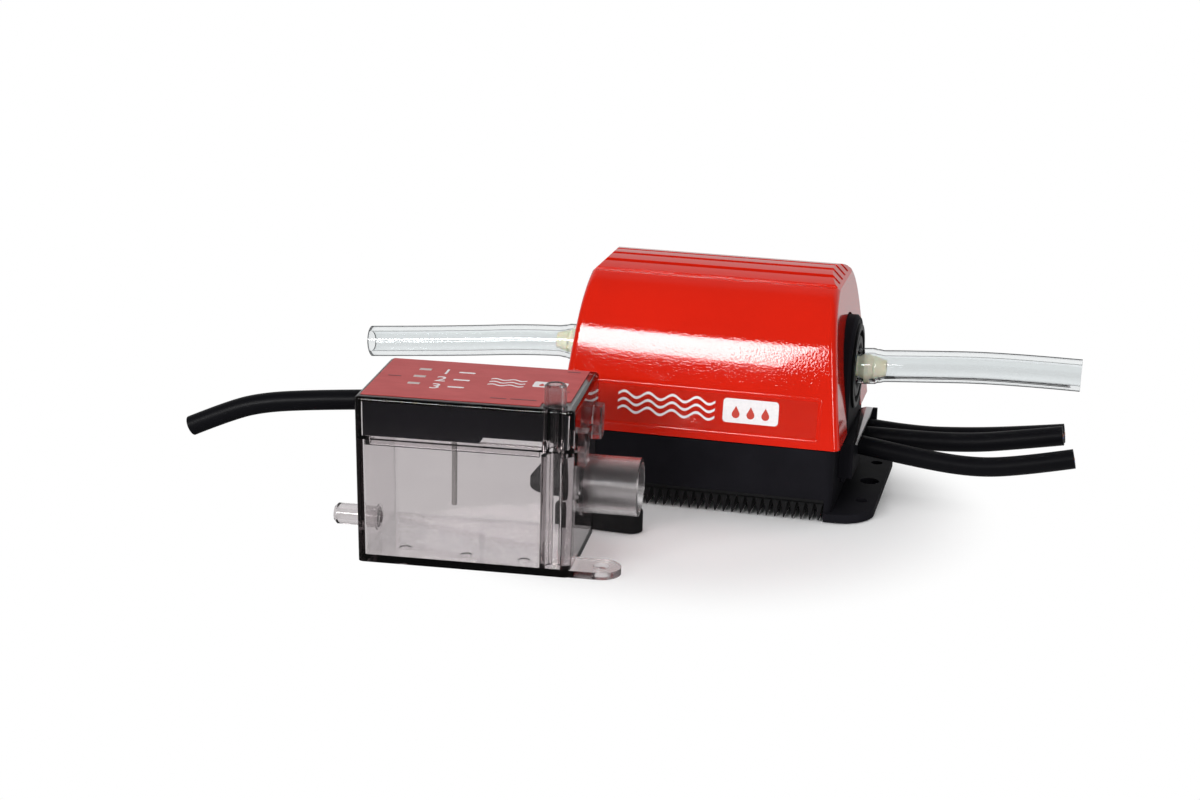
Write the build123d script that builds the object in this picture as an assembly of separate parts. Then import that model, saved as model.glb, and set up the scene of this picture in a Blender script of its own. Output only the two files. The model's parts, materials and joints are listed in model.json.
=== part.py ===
"""Mini condensate pump: a solenoid pump on a rubber-ribbed base under a moulded cover,
with its tubes and cables, and the small sensing reservoir that feeds it.

Frame: millimetres, +Z up, origin on the standing surface at the centre of the base's
mounting holes, +X along the pump towards its cable end, -Y towards the reservoir.
"""
import os
from math import atan2, degrees, hypot, pi, radians, tan

from build123d import *

# ---------------------------------------------------------------- driving dimensions
gap = 0.3                  # clearance between pieces that lift apart
hair = 0.05                # seam between pieces that are pushed together
far = 200.0                # reach of a cutting tool past everything that it cuts

# base tray
base_length = 80.8         # X, over the end walls
base_width = 67.4          # Y, over the side walls
base_rim_z = 21.2          # shoulder the cover stands above
base_corner = 3.0
tray_end_wall = 3.1
tray_side_wall = 3.8
tray_floor_z = 6.4         # underside of the floor
tray_floor = 2.0
tongue_height = 2.8        # rim that locates the cover
tongue_inset_x = 1.4
tongue_inset_y = 2.6
lip_width = 2.1            # end lip that closes the ribbed pad in

# mounting flanges
flange_reach = 52.0        # X of the flange's outer edge
flange_width = base_width + 0.8
flange_thick = 2.5
flange_corner = 10.5
hole_x = 47.6              # mounting hole columns at +-X
hole_y = 18.7              # outer holes at +-Y
hole_r = 1.8
centre_hole_r = 2.1
centre_sink_r = 2.9
centre_sink_depth = 0.8

# ribbed isolation pad
rib_count = 30
rib_pitch = 2.55
rib_depth = 5.2
rib_tip = 0.5              # width of the rounded tip
rib_root_gap = 0.15        # flat left between two ribs at their root

# pump axis and the upright rings that carry it
axis_z = 38.3
ring_r = 15.35
ring_inner_x = 37.8
ring_outer_x = 41.7
ring_bore_r = 11.9
ring_bevel = 0.9

# rubber grommets
grommet_flange_r = 12.7
grommet_flange = 0.7
grommet_web = 1.6
hub_r = 9.5
hub_inner_x = 36.4
hub_outer_x = 42.3
hub_bore_r = 6.5

# nylon hose fittings
collar_end_x = 39.6
shank_r = 3.03
barb_start_x = 42.6
barb_r = 3.9
barb_neck_r = 3.3
barb_tip_r = 2.35
barb_end_x = 50.6
fitting_bore_r = 1.4

# pump cylinder, plunger and springs
cylinder_r = 6.5
cylinder_wall = 1.3
cylinder_half = 32.0
plunger_length = 27.0
plunger_bore_r = 1.8
plunger_play = 0.06
spigot_x = 28.5            # inner end of each fitting, inside the cylinder
spring_wire = 0.8
spring_turns = 5
spring_r = 4.2
plunger_step = 1.5         # shoulder that each spring sits on
plunger_band = 3.0         # wear band at each end
valve_stem = 6.0           # mushroom stem inside the plunger's bore
seal_wire_r = 0.6

# outlet valve
valve_seat_x = 30.5
valve_chamber_r = 3.0
valve_chamber_end_x = 36.5
valve_r = 2.4
valve_thick = 1.2

# solenoid
pole_r = 8.0
pole_gap = 4.0             # half of the air gap between the pole sleeves
bobbin_tube_r = 8.8
bobbin_flange_r = 16.5
bobbin_flange = 1.2
bobbin_half = 16.0
winding_r = 15.4
yoke_sheet = 2.2
yoke_half_y = 14.5
yoke_half_z = 19.3
cutout_half_x = 7.0        # thermal cut-out on the side of the winding
cutout_half_z = 3.2
cutout_proud = 3.8
lead_r = 0.6
lead_spread = 1.3
lead_y = -17.6
lead_turn_x = 19.9
lead_foot_x = 22.4
lead_foot_y = -13.6
lead_bend = 2.5

# terminals
board_thick = 1.6
board_x0 = 20.5
board_length = 15.5
board_width = 44.0
board_z = 11.4
post_r = 2.2
post_inset = 2.25          # from the board's edge to each post's axis, along X
post_inset_y = 3.0
board_screw_r = 0.95
board_screw_head_r = 1.8
board_screw_head = 1.1
board_screw_grip = 4.0     # thread in the post
block_height = 8.0
block_inset = 1.5          # from the board's edge to the block's back
block_depth = 9.0
pole_count = 6
pole_pitch = 4.5
mouth_half_y = 1.5         # wire mouth of one pole
mouth_low = 0.8
mouth_high = 3.4
mouth_depth = 3.5
screw_well_r = 1.7
terminal_screw_r = 1.6
core_r = 0.7
core_spread = 1.1          # from a cable's axis to each of its two cores

# cable clamp and cables
clamp_reach = 44.5         # X of the clamp's outer face
clamp_y0 = -21.0
clamp_y1 = 16.8
clamp_z0 = 9.6
clamp_top = 20.0
clamp_plate_thick = 0.9
clamp_plate_reach = 45.6
cable_r = 2.9
cable_z = 15.9
cable_start_x = 43.2       # where the tail inside ends and the free cable starts
tail_start_x = 34.4        # where the jacket is stripped back inside the tray
cable_y = (-6.0, 3.0, 12.0)

# tubes
tube_r = 4.75
tube_bore_r = 3.2

# pump cover
cover_half_length = 41.85
cover_bottom_z = 21.5
cover_top_z = 68.1
cover_half_width = base_width / 2 + 0.1
cover_wall = 2.0
cover_end_draft = 6.26     # degrees that each end leans in
cover_edge_r = 2.2
side_top_z = 37.5          # top of the flat lower side
side_top_y = cover_half_width - 2.4
# arch points as shares of the half width and of the top's height
arch_shares = ((0.849, 0.702), (0.722, 0.840), (0.515, 0.937), (0.2485, 0.9868))
arch_knots = [(y * cover_half_width, z * cover_top_z) for y, z in arch_shares]
slot_pitch = 5.7
slot_count = 6
slot_width = 1.9
slot_floor_z = 65.0
nose_top_x = 34.4          # chamfer across both ends of the slotted top
nose_low_x = 37.3
nose_top_z = 67.0
nose_low_z = 64.1
cutout_gap = 0.6           # between the cover's cut-out and the upright ring
label_half_length = 34.9
label_z0 = 24.6
label_z1 = 35.3
label_thick = 0.15

# reservoir: place in the pump's frame, and size
tank_x = -51.4
tank_y = -82.5
tank_turn = 4.38
tank_length = 60.0         # at the top of the lid
tank_depth = 40.3
tank_height = 46.9
lid_height = 11.8
lid_z = tank_height - lid_height   # joint between tank and lid
tank_draft = 0.0147        # each side, per mm of height
tank_wall = 1.8
tank_corner = 1.6
inlet_z = 20.6
inlet_r = 8.1
inlet_wall = 1.2
inlet_mouth_x = tank_length / 2 + 15.8
inlet_bevel = 3.4
drain_z = 6.25
drain_r = 2.95
drain_bore_r = 1.7
drain_tip_x = -tank_length / 2 - 11.0
vent_x = tank_length / 2 - 5.9
vent_y = 3.55 - tank_depth / 2
vent_r = 2.95
vent_bore_r = 1.9
vent_top_z = tank_height + 6.3
well_r = 3.75              # upright channel under the vent
well_bore_r = 2.3
well_top_z = lid_z - 1.7
spigot_collar = 0.5        # flat ring at each spigot's root, that a hose stops against
spigot_collar_rise = 0.8
vent_collar_rise = 0.35
vent_collar = 0.3
tab_thick = 2.0
tab_hole_x = tank_length / 2 + 6.9
tab_y = 6.55 - tank_depth / 2
tab_r = 5.5
tab_hole_r = 2.15
clip_y = (-14.6, 10.1)
clip_width = 5.4
clip_reach = 3.0
clip_drop = 4.0
clip_rise = 5.1
mark_r = 1.7               # shallow round marks on the tank's floor
mark_depth = 0.3
marks = ((-17.6, 15.2), (-0.5, 16.5), (-18.0, -10.4), (-0.6, -12.2), (15.6, -12.7))

# lid contents
lid_wall = 1.6
skirt_depth = 2.0
skirt_wall = 1.2
skirt_top = 0.7            # ledge of the skirt inside the lid, above the joint
potting_z0 = lid_z + 0.8
sensor_board_z = tank_height - 5.3
sensor_board_thick = 1.6
sensor_board_x = (4.0 - tank_length / 2, tank_length / 2 - 10.5)
sensor_board_half_y = tank_depth / 2 - 4.65
# sensing chip, regulator and relay: X from the board's end, Y, depth
board_components = ((29, 37, 2, 10, 1.6), (2, 8, -4, 3, 2.2), (23, 32, -14, -8, 2.6))
notch_x0 = vent_x - 20.0
notch_x1 = vent_x - 0.3
notch_depth = 5.5
notch_height = 1.7
probe_x = -6.7
probe_r = 0.77
probe_low_z = 11.6
led_x = 12.7 - tank_length / 2
led_y = (9.4, 2.3, -4.7)
led_length = 3.3
led_width = 1.5
lid_label_thick = 0.2
label_seam = 0.02
label_left = 1.3 - tank_length / 2
label_right = tank_length / 2 - 2.6
label_rear = tank_depth / 2 - 1.35
label_front = 2.55 - tank_depth / 2
lid_label_corners = ((label_left, label_rear), (label_right, label_rear),
                     (label_right, vent_y + 5.0), (vent_x + 1.3, vent_y + 4.2),
                     (vent_x - 4.0, vent_y + 2.1), (vent_x - 4.0, label_front),
                     (label_left, label_front))
lens_thick = 0.3
sensor_cable_z = tank_height - 6.7
sensor_cable_x = 0.1 - tank_length / 2   # where the cable leaves the lid's end wall
sensor_cable_r = 2.8
bush_r = 3.9
bush_flange = 0.35

# loose rubber bumper beside the reservoir
bumper_x0, bumper_y0 = 21.0, 24.6
bumper_x1, bumper_y1 = 39.6, 22.2
bumper_r = 3.5
bumper_height = 6.6

# cord routes, straight runs joined by arcs: X, Y, Z
inlet_tube_route = [(-41.9, 0, 38.3), (-57.0, 0, 38.1), (-84.5, 0, 35.0), (-111.2, 0, 32.7)]
outlet_tube_route = [(41.9, 0, 38.3), (62.0, 0, 39.9), (85.0, 0, 41.4), (107.4, 0, 41.2)]
supply_cable_route = [(43.2, -6, 15.9), (60, -6, 13.4), (78, -6.4, 11.9), (92, -6, 13.6),
                      (107.6, -5.4, 17.3)]
alarm_cable_route = [(43.2, 3, 15.9), (60, 3, 15.8), (77, 3.2, 16.5), (91, 3, 19.0),
                     (103.7, 3, 21.5)]
signal_cable_route = [(43.2, 12, 15.9), (58, 12, 14.5), (76, 12, 15.7), (91, 12, 17.6),
                      (103.9, 12, 19.6)]
# the same in the reservoir's own frame
sensor_cable_route = [(sensor_cable_x, 0, sensor_cable_z), (-46.0, 0, 39.0), (-62.5, 0, 37.0),
                      (-73.0, 0, 33.2), (-82.4, 0, 28.8)]

os.makedirs("parts", exist_ok=True)
built = {}


def keep(name, shape):
    """Store one node's solid or group of solids."""
    built[name] = shape


def block(x0, x1, y0, y1, z0, z1):
    """Box between two corners."""
    return Pos((x0 + x1) / 2, (y0 + y1) / 2, (z0 + z1) / 2) * Box(x1 - x0, y1 - y0, z1 - z0)


def rounded_block(length, width, z0, z1, corner):
    """Upright block with rounded vertical edges, centred on the Z axis."""
    outline = RectangleRounded(length, width, corner)
    return Pos(0, 0, z0) * extrude(outline, z1 - z0)


def rod_x(x0, x1, radius, y=0.0, z=0.0):
    """Cylinder along X."""
    return Pos((x0 + x1) / 2, y, z) * Rot(0, 90, 0) * Cylinder(radius, abs(x1 - x0))


def rod_z(x, y, z0, z1, radius):
    """Cylinder along Z."""
    return Pos(x, y, (z0 + z1) / 2) * Cylinder(radius, z1 - z0)


def turned_x(points):
    """Body turned about the pump axis from (x, radius) points."""
    face = make_face(Plane.XZ * Polyline(*points, close=True))
    return Pos(0, 0, axis_z) * revolve(face, Axis.X, 360)


def coil_spring_x(x0, x1, radius, wire, turns):
    """Compression spring along the pump axis, from a square wire."""
    pitch = (x1 - x0 - wire) / turns
    path = Helix(pitch, pitch * turns, radius)
    start = path @ 0
    section = Plane(origin=start, z_dir=path % 0) * Rectangle(wire * 0.8, wire * 0.8)
    spring = sweep(section, path, is_frenet=True)
    return Pos(x0 + wire / 2, 0, axis_z) * Rot(0, 90, 0) * spring


def route_wire(points):
    """Straight runs joined by tangent arcs, as large as the runs allow."""
    spots = [Vector(*point) for point in points]
    radii = []
    for before, here, after in zip(spots, spots[1:], spots[2:]):
        run = min((here - before).length, (after - here).length)
        turn = (here - before).get_angle(after - here)
        radii.append(0.45 * run / tan(radians(turn) / 2))
    return FilletPolyline(*spots, radius=radii), radii


def cord(name, points, radius, bore=0.0):
    """Round tube along a route, checked against its section times its length."""
    wire, radii = route_wire(points)
    plane = Plane(origin=wire @ 0, z_dir=wire % 0)
    solid = sweep(plane * Circle(radius), wire)
    area = pi * radius ** 2
    if bore:
        solid -= sweep(plane * Circle(bore), wire)
        area -= pi * bore ** 2
    print(name, "radii", [round(r) for r in radii], "length", round(wire.length, 1),
          "volume ratio", round(solid.volume / (area * wire.length), 4))
    return solid


def rod_between(start, end, radius):
    """Cylinder from one point to another."""
    path = Line(start, end)
    return sweep(Plane(origin=path @ 0, z_dir=path % 0) * Circle(radius), path)


# ---------------------------------------------------------------- base
def post_places():
    """Axes of the four posts under the terminal board."""
    columns = (board_x0 + post_inset, board_x0 + board_length - post_inset)
    rows = (post_inset_y - board_width / 2, board_width / 2 - post_inset_y)
    return [(x, y) for x in columns for y in rows]


def base_tray():
    """Open tray with end flanges, end lips round the pad and the two upright rings."""
    half_x = base_length / 2
    half_y = base_width / 2
    floor_top = tray_floor_z + tray_floor
    body = rounded_block(base_length, base_width, tray_floor_z, base_rim_z, base_corner)
    tongue = rounded_block(base_length - 2 * tongue_inset_x, base_width - 2 * tongue_inset_y,
                           tray_floor_z, base_rim_z + tongue_height, base_corner)
    body += tongue
    lip_end = rounded_block(base_length, base_width, 0, tray_floor_z, base_corner)
    lip_end -= block(lip_width - half_x, half_x - lip_width, -half_y - 1, half_y + 1,
                     -1, tray_floor_z + 1)
    flange = rounded_block(2 * flange_reach, flange_width, 0, flange_thick, flange_corner)
    flange -= block(lip_width - half_x, half_x - lip_width, -flange_width, flange_width,
                    -1, flange_thick + 1)
    body += lip_end + flange
    body -= rounded_block(base_length - 2 * tray_end_wall, base_width - 2 * tray_side_wall,
                          floor_top, base_rim_z + tongue_height + 1, base_corner)
    for side in (-1, 1):
        outline = Pos(0, axis_z) * Circle(ring_r)
        outline += Pos(0, (axis_z + tray_floor_z) / 2) * Rectangle(2 * ring_r,
                                                                 axis_z - tray_floor_z)
        ring = extrude(Plane.YZ * outline, ring_outer_x - ring_inner_x)
        ring = chamfer(ring.faces().sort_by(Axis.X)[-1].edges()
                       .filter_by(GeomType.CIRCLE), ring_bevel)
        ring -= Pos(0, 0, axis_z) * Rot(0, 90, 0) * Cylinder(ring_bore_r, far)
        ring = Pos(ring_inner_x, 0, 0) * ring
        body += ring if side > 0 else Rot(0, 0, 180) * ring
        for y in (-hole_y, hole_y):
            body -= rod_z(side * hole_x, y, -1, flange_thick + 1, hole_r)
        body -= rod_z(side * hole_x, 0, -1, flange_thick + 1, centre_hole_r)
        body -= rod_z(side * hole_x, 0, flange_thick - centre_sink_depth, flange_thick + 1,
                      centre_sink_r)
    for y in cable_y:
        body -= rod_x(half_x - tray_end_wall - 1, ring_outer_x + 1, cable_r + hair, y, cable_z)
    for x, y in post_places():
        body += rod_z(x, y, floor_top, board_z, post_r)
        body -= rod_z(x, y, board_z - board_screw_grip - gap, board_z + 1, board_screw_r + hair)
    return body


def rib_pad():
    """Rubber pad under the tray: a thin plate with rows of V ribs that run across."""
    plate_bottom = rib_depth
    half = rib_count * rib_pitch / 2
    points = [(-half, tray_floor_z - hair), (-half, plate_bottom)]
    for index in range(rib_count):
        left = -half + index * rib_pitch
        middle = left + rib_pitch / 2
        points += [(left + rib_root_gap, plate_bottom), (middle - rib_tip / 2, 0.15),
                   (middle - rib_tip / 4, 0), (middle + rib_tip / 4, 0),
                   (middle + rib_tip / 2, 0.15), (left + rib_pitch - rib_root_gap, plate_bottom)]
    points += [(half, plate_bottom), (half, tray_floor_z - hair)]
    outline = make_face(Plane.XZ * Polyline(*points, close=True))
    return Pos(0, base_width / 2, 0) * extrude(outline, base_width)


def grommet(side):
    """Rubber ring: grooved rim in the upright, thin web, thick hub round the fitting."""
    web_mid = (ring_inner_x + ring_outer_x) / 2
    web0 = web_mid - grommet_web / 2
    web1 = web_mid + grommet_web / 2
    rim_r = ring_bore_r - hair
    inner = ring_inner_x - hair
    outer = ring_outer_x + hair
    points = [(hub_inner_x, hub_bore_r), (hub_outer_x - 0.6, hub_bore_r),
              (hub_outer_x, hub_bore_r + 0.6), (hub_outer_x, hub_r - 0.6),
              (hub_outer_x - 0.6, hub_r), (web1, hub_r + 0.3), (web1, rim_r - 1.3),
              (outer + grommet_flange, rim_r - 1.0),
              (outer + grommet_flange, grommet_flange_r - 0.3),
              (outer + grommet_flange - 0.3, grommet_flange_r), (outer, grommet_flange_r),
              (outer, rim_r), (inner, rim_r), (inner, grommet_flange_r),
              (inner - grommet_flange, grommet_flange_r), (inner - grommet_flange, rim_r - 1.0),
              (web0, rim_r - 1.3), (web0, hub_r + 0.3), (hub_inner_x, hub_r)]
    ring = turned_x(points)
    return ring if side > 0 else Rot(0, 0, 180) * ring


# ---------------------------------------------------------------- pump
def fitting(side):
    """Nylon end piece: spigot in the cylinder, collar in the grommet, hose barb outside."""
    bore_r = cylinder_r - cylinder_wall
    seal_x = (spigot_x + cylinder_half) / 2
    points = [(spigot_x, fitting_bore_r), (spigot_x, bore_r - hair),
              (seal_x - 0.8, bore_r - hair), (seal_x - 0.8, bore_r - 1.2),
              (seal_x + 0.8, bore_r - 1.2), (seal_x + 0.8, bore_r - hair),
              (cylinder_half + hair, bore_r - hair), (cylinder_half + hair, hub_bore_r - hair),
              (collar_end_x, hub_bore_r - hair), (collar_end_x, shank_r),
              (barb_start_x, shank_r), (barb_start_x + 0.7, barb_r - 0.5),
              (barb_start_x + 1.7, barb_r), (barb_start_x + 3.0, barb_r),
              (barb_start_x + 4.0, barb_neck_r), (barb_start_x + 4.5, barb_neck_r + 0.2),
              (barb_end_x, barb_tip_r), (barb_end_x, fitting_bore_r)]
    if side > 0:
        points += [(valve_chamber_end_x, fitting_bore_r), (valve_chamber_end_x, valve_chamber_r),
                   (valve_seat_x, valve_chamber_r), (valve_seat_x, fitting_bore_r)]
    piece = turned_x(points)
    return piece if side > 0 else Rot(0, 0, 180) * piece


def cylinder_seals():
    """Two O-rings between the fittings and the cylinder."""
    bore_r = cylinder_r - cylinder_wall
    seal_x = (spigot_x + cylinder_half) / 2
    ring = Torus(bore_r - hair - seal_wire_r, seal_wire_r - hair)
    ring = Pos(seal_x, 0, axis_z) * Rot(0, 90, 0) * ring
    return Compound(children=[ring, Rot(0, 0, 180) * ring])


def pump_cylinder():
    """Thin stainless tube that the plunger runs in."""
    bore_r = cylinder_r - cylinder_wall
    return turned_x([(-cylinder_half, bore_r), (-cylinder_half, cylinder_r),
                     (cylinder_half, cylinder_r), (cylinder_half, bore_r)])


def plunger():
    """Hollow steel plunger with two wear bands, a spring step and a valve seat."""
    radius = cylinder_r - cylinder_wall - plunger_play
    half = plunger_length / 2
    band = half - plunger_step - plunger_band
    step_r = radius - 1.6
    return turned_x([(-half, plunger_bore_r), (-half, step_r), (plunger_step - half, step_r),
                     (plunger_step - half, radius), (-band, radius),
                     (0.5 - band, radius - 0.3), (band - 0.5, radius - 0.3), (band, radius),
                     (half - plunger_step, radius), (half - plunger_step, step_r),
                     (half, step_r), (half, plunger_bore_r)])


def plunger_valve():
    """Rubber mushroom on the plunger's outlet end."""
    half = plunger_length / 2
    return turned_x([(half - valve_stem, 0), (half - valve_stem, plunger_bore_r - 0.4),
                     (half + hair, plunger_bore_r - 0.4), (half + hair, plunger_bore_r + 0.5),
                     (half + 0.9, plunger_bore_r + 0.3), (half + 1.2, 0)])


def outlet_valve():
    """Poppet that closes the outlet seat."""
    face_x = valve_seat_x + hair
    return turned_x([(face_x, 0), (face_x, valve_r - 0.4), (face_x + 0.4, valve_r),
                     (face_x + valve_thick, valve_r), (face_x + valve_thick, 0.9),
                     (face_x + valve_thick + 1.4, 0.9), (face_x + valve_thick + 1.4, 0)])


def pole_sleeves():
    """Steel bushes that lead the flux to the air gap."""
    sleeve = turned_x([(pole_gap, cylinder_r + hair), (pole_gap, pole_r),
                       (bobbin_half + yoke_sheet, pole_r),
                       (bobbin_half + yoke_sheet, cylinder_r + hair)])
    return Compound(children=[sleeve, Rot(0, 0, 180) * sleeve])


def coil_bobbin():
    """Plastic bobbin with two flanges and a lead slot."""
    inner = pole_r + hair
    end = bobbin_half - hair
    flange = end - bobbin_flange
    spool = turned_x([(-end, inner), (-end, bobbin_flange_r), (-flange, bobbin_flange_r),
                      (-flange, bobbin_tube_r), (flange, bobbin_tube_r), (flange, bobbin_flange_r),
                      (end, bobbin_flange_r), (end, inner)])
    return spool - block(flange - 1, end + 1, -1.2, 1.2, axis_z - bobbin_flange_r - 1,
                         axis_z - bobbin_flange_r + 3.5)


def coil_winding():
    """Wound coil between the bobbin flanges."""
    half = bobbin_half - bobbin_flange - 2 * hair
    return turned_x([(-half, bobbin_tube_r + hair), (-half, winding_r), (half, winding_r),
                     (half, bobbin_tube_r + hair)])


def solenoid_yoke():
    """Folded steel strap round the coil, open at both sides."""
    outer_x = bobbin_half + yoke_sheet
    low = axis_z - yoke_half_z
    high = axis_z + yoke_half_z
    strap = block(-outer_x, outer_x, -yoke_half_y, yoke_half_y, low, high)
    strap = fillet(strap.edges().filter_by(Axis.Y), yoke_sheet)
    strap -= block(-bobbin_half, bobbin_half, -yoke_half_y - 1, yoke_half_y + 1,
                   low + yoke_sheet, high - yoke_sheet)
    return strap - rod_x(-outer_x - 1, outer_x + 1, pole_r + hair, 0, axis_z)


def thermal_cutout():
    """Flat cut-out strapped to the side of the winding."""
    body = block(-cutout_half_x, cutout_half_x, -winding_r - cutout_proud, 0,
                 axis_z - cutout_half_z, axis_z + cutout_half_z)
    body = fillet(body.edges().filter_by(Axis.X).sort_by(Axis.Y)[:2], 1.0)
    return body - rod_x(-far, far, winding_r + hair, 0, axis_z)


# ---------------------------------------------------------------- terminals and cable clamp
def terminal_board():
    """Circuit board on four posts inside the cable end of the tray."""
    board = block(board_x0, board_x0 + board_length, -board_width / 2, board_width / 2,
                  board_z, board_z + board_thick)
    for x, y in post_places():
        board -= rod_z(x, y, board_z - 1, board_z + board_thick + 1, board_screw_r + hair)
    return board


def board_screws():
    """Four pan head screws that hold the board on its posts."""
    top = board_z + board_thick + hair
    screws = []
    for x, y in post_places():
        screw = rod_z(x, y, board_z - board_screw_grip, top, board_screw_r)
        head = rod_z(x, y, top, top + board_screw_head, board_screw_head_r)
        head = fillet(head.faces().sort_by(Axis.Z)[-1].edges(), 0.5)
        for long_x, long_y in ((2.2, 0.5), (0.5, 2.2)):
            head -= block(x - long_x / 2, x + long_x / 2, y - long_y / 2, y + long_y / 2,
                          top + board_screw_head / 2, top + board_screw_head + 1)
        screws.append(screw + head)
    return Compound(children=screws)


def pole_places():
    """Y of each terminal pole: two behind every cable."""
    middle = sum(cable_y) / len(cable_y)
    return [middle + (index - (pole_count - 1) / 2) * pole_pitch for index in range(pole_count)]


def terminal_block():
    """Row of screw terminals with wire mouths facing the cables."""
    base = board_z + board_thick
    back = board_x0 + block_inset
    front = back + block_depth
    middle = sum(cable_y) / len(cable_y)
    half_width = pole_count * pole_pitch / 2
    body = block(back, front, middle - half_width, middle + half_width, base, base + block_height)
    body = chamfer(body.edges().filter_by(Axis.Y).sort_by(Axis.Z)[-2:], 1.2)
    for y in pole_places():
        body -= rod_z(back + block_depth / 2, y, base + mouth_high - hair, base + block_height + 1,
                      screw_well_r)
        body -= block(front - mouth_depth, front + 1, y - mouth_half_y, y + mouth_half_y,
                      base + mouth_low, base + mouth_high)
    return body


def terminal_screws():
    """Slotted screws in the terminal block."""
    base = board_z + board_thick
    x = board_x0 + block_inset + block_depth / 2
    slot_low = base + mouth_high + 1.6
    screws = []
    for y in pole_places():
        screw = rod_z(x, y, base + mouth_high, slot_low + 0.6, terminal_screw_r)
        screw -= block(x - 2, x + 2, y - 0.25, y + 0.25, slot_low, slot_low + 1)
        screws.append(screw)
    return Compound(children=screws)


def core_wires():
    """Two insulated cores from each cable's stripped end to its poles."""
    mouth_x = board_x0 + block_inset + block_depth - mouth_depth + 0.5
    mouth_z = board_z + board_thick + (mouth_low + mouth_high) / 2
    cores = []
    for index, y in enumerate(pole_places()):
        side = -1 if index % 2 == 0 else 1
        start = (tail_start_x - gap, cable_y[index // 2] + side * core_spread, cable_z)
        cores.append(rod_between(start, (mouth_x, y, mouth_z), core_r))
    return Compound(children=cores)


def coil_leads():
    """Two wires from the thermal cut-out to the terminal board."""
    leads = []
    for row in (-1, 1):
        z = axis_z + row * lead_spread
        foot_y = lead_foot_y + row * lead_spread
        path = FilletPolyline((cutout_half_x + hair, lead_y, z), (lead_turn_x, lead_y, z),
                              (lead_foot_x, foot_y, board_z + board_thick + lead_r),
                              radius=lead_bend)
        leads.append(sweep(Plane(origin=path @ 0, z_dir=path % 0) * Circle(lead_r), path))
    return Compound(children=leads)


def cable_clamp():
    """Block on the end wall that the three cables pass through, with a keeper tooth."""
    wall_x = base_length / 2
    body = block(wall_x + hair, clamp_reach, clamp_y0, clamp_y1, clamp_z0, clamp_top)
    body = fillet(body.edges().filter_by(Axis.Z).sort_by(Axis.X)[-2:], 0.8)
    tooth = block(clamp_reach - 0.5, clamp_plate_reach + 1.4, clamp_y1 - 1.8, clamp_y1,
                  clamp_z0 + 4, clamp_top + clamp_plate_thick)
    tooth -= block(clamp_reach - 1, clamp_plate_reach + hair, clamp_y1 - 2, clamp_y1 + 1,
                   clamp_top, clamp_top + 5)
    body += tooth
    for y in cable_y:
        body -= rod_x(wall_x - 1, clamp_reach + 3, cable_r + hair, y, cable_z)
    return body - upright_foot()


def upright_foot():
    """The room that the upright ring's straight foot takes at the end wall."""
    return block(0, ring_outer_x + hair, -ring_r - hair, ring_r + hair, 0, axis_z)


def clamp_plate():
    """Bright strip that closes the clamp from above."""
    plate = block(base_length / 2 + 0.2, clamp_plate_reach, clamp_y0, clamp_y1, clamp_top + hair,
                  clamp_top + clamp_plate_thick)
    return plate - upright_foot()


def cable_tails():
    """The jacketed cable ends between the clamp and the terminals."""
    tails = [rod_x(tail_start_x, cable_start_x - 0.5, cable_r, y, cable_z) for y in cable_y]
    return Compound(children=tails)


# ---------------------------------------------------------------- cover
def arch_profile(inset):
    """Cover section in the Y-Z plane: flat lower sides, then one arch over the top."""
    slope = (cover_half_width - side_top_y) / (side_top_z - cover_bottom_z)
    knots = [(side_top_y, side_top_z), *arch_knots, (0.0, cover_top_z)]
    before = [(side_top_y + slope, side_top_z - 1), *knots[:-1]]
    after = [*knots[1:], (-arch_knots[-1][0], arch_knots[-1][1])]
    arch = []
    for (y0, z0), (y, z), (y1, z1) in zip(before, knots, after):
        reach = hypot(y1 - y0, z1 - z0)
        arch.append((y - inset * (z1 - z0) / reach, z - inset * (y0 - y1) / reach))
    low_z = cover_bottom_z - 2 * inset
    low_y = arch[0][0] + slope * (arch[0][1] - low_z)
    mirrored = [(-y, z) for y, z in reversed(arch[:-1])]
    spline = Spline(*arch, *mirrored)
    sides = Polyline(arch[0], (low_y, low_z), (-low_y, low_z), mirrored[-1])
    return make_face([spline, sides])


def across(points):
    """A cutting tool right across Y with this X-Z outline, and its twin at the other end."""
    outline = make_face(Plane.XZ * Polyline(*points, close=True))
    tool = Pos(0, far / 2, 0) * extrude(outline, far)
    return tool + Rot(0, 0, 180) * tool


def end_wedges(half_length):
    """Everything beyond the two leaning end planes."""
    lean = tan(radians(cover_end_draft))
    low = 0.0
    high = cover_top_z + cover_bottom_z
    x_low = half_length + lean * (cover_bottom_z - low)
    x_high = half_length - lean * (high - cover_bottom_z)
    return across([(x_low, low), (far, low), (far, high), (x_high, high)])


def cover_body(inset):
    """Solid of the cover's outer or inner form."""
    half = cover_half_length
    length = 3 * half
    form = Pos(-length / 2, 0, 0) * extrude(Plane.YZ * arch_profile(inset), length)
    return form - end_wedges(half - inset)


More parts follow.
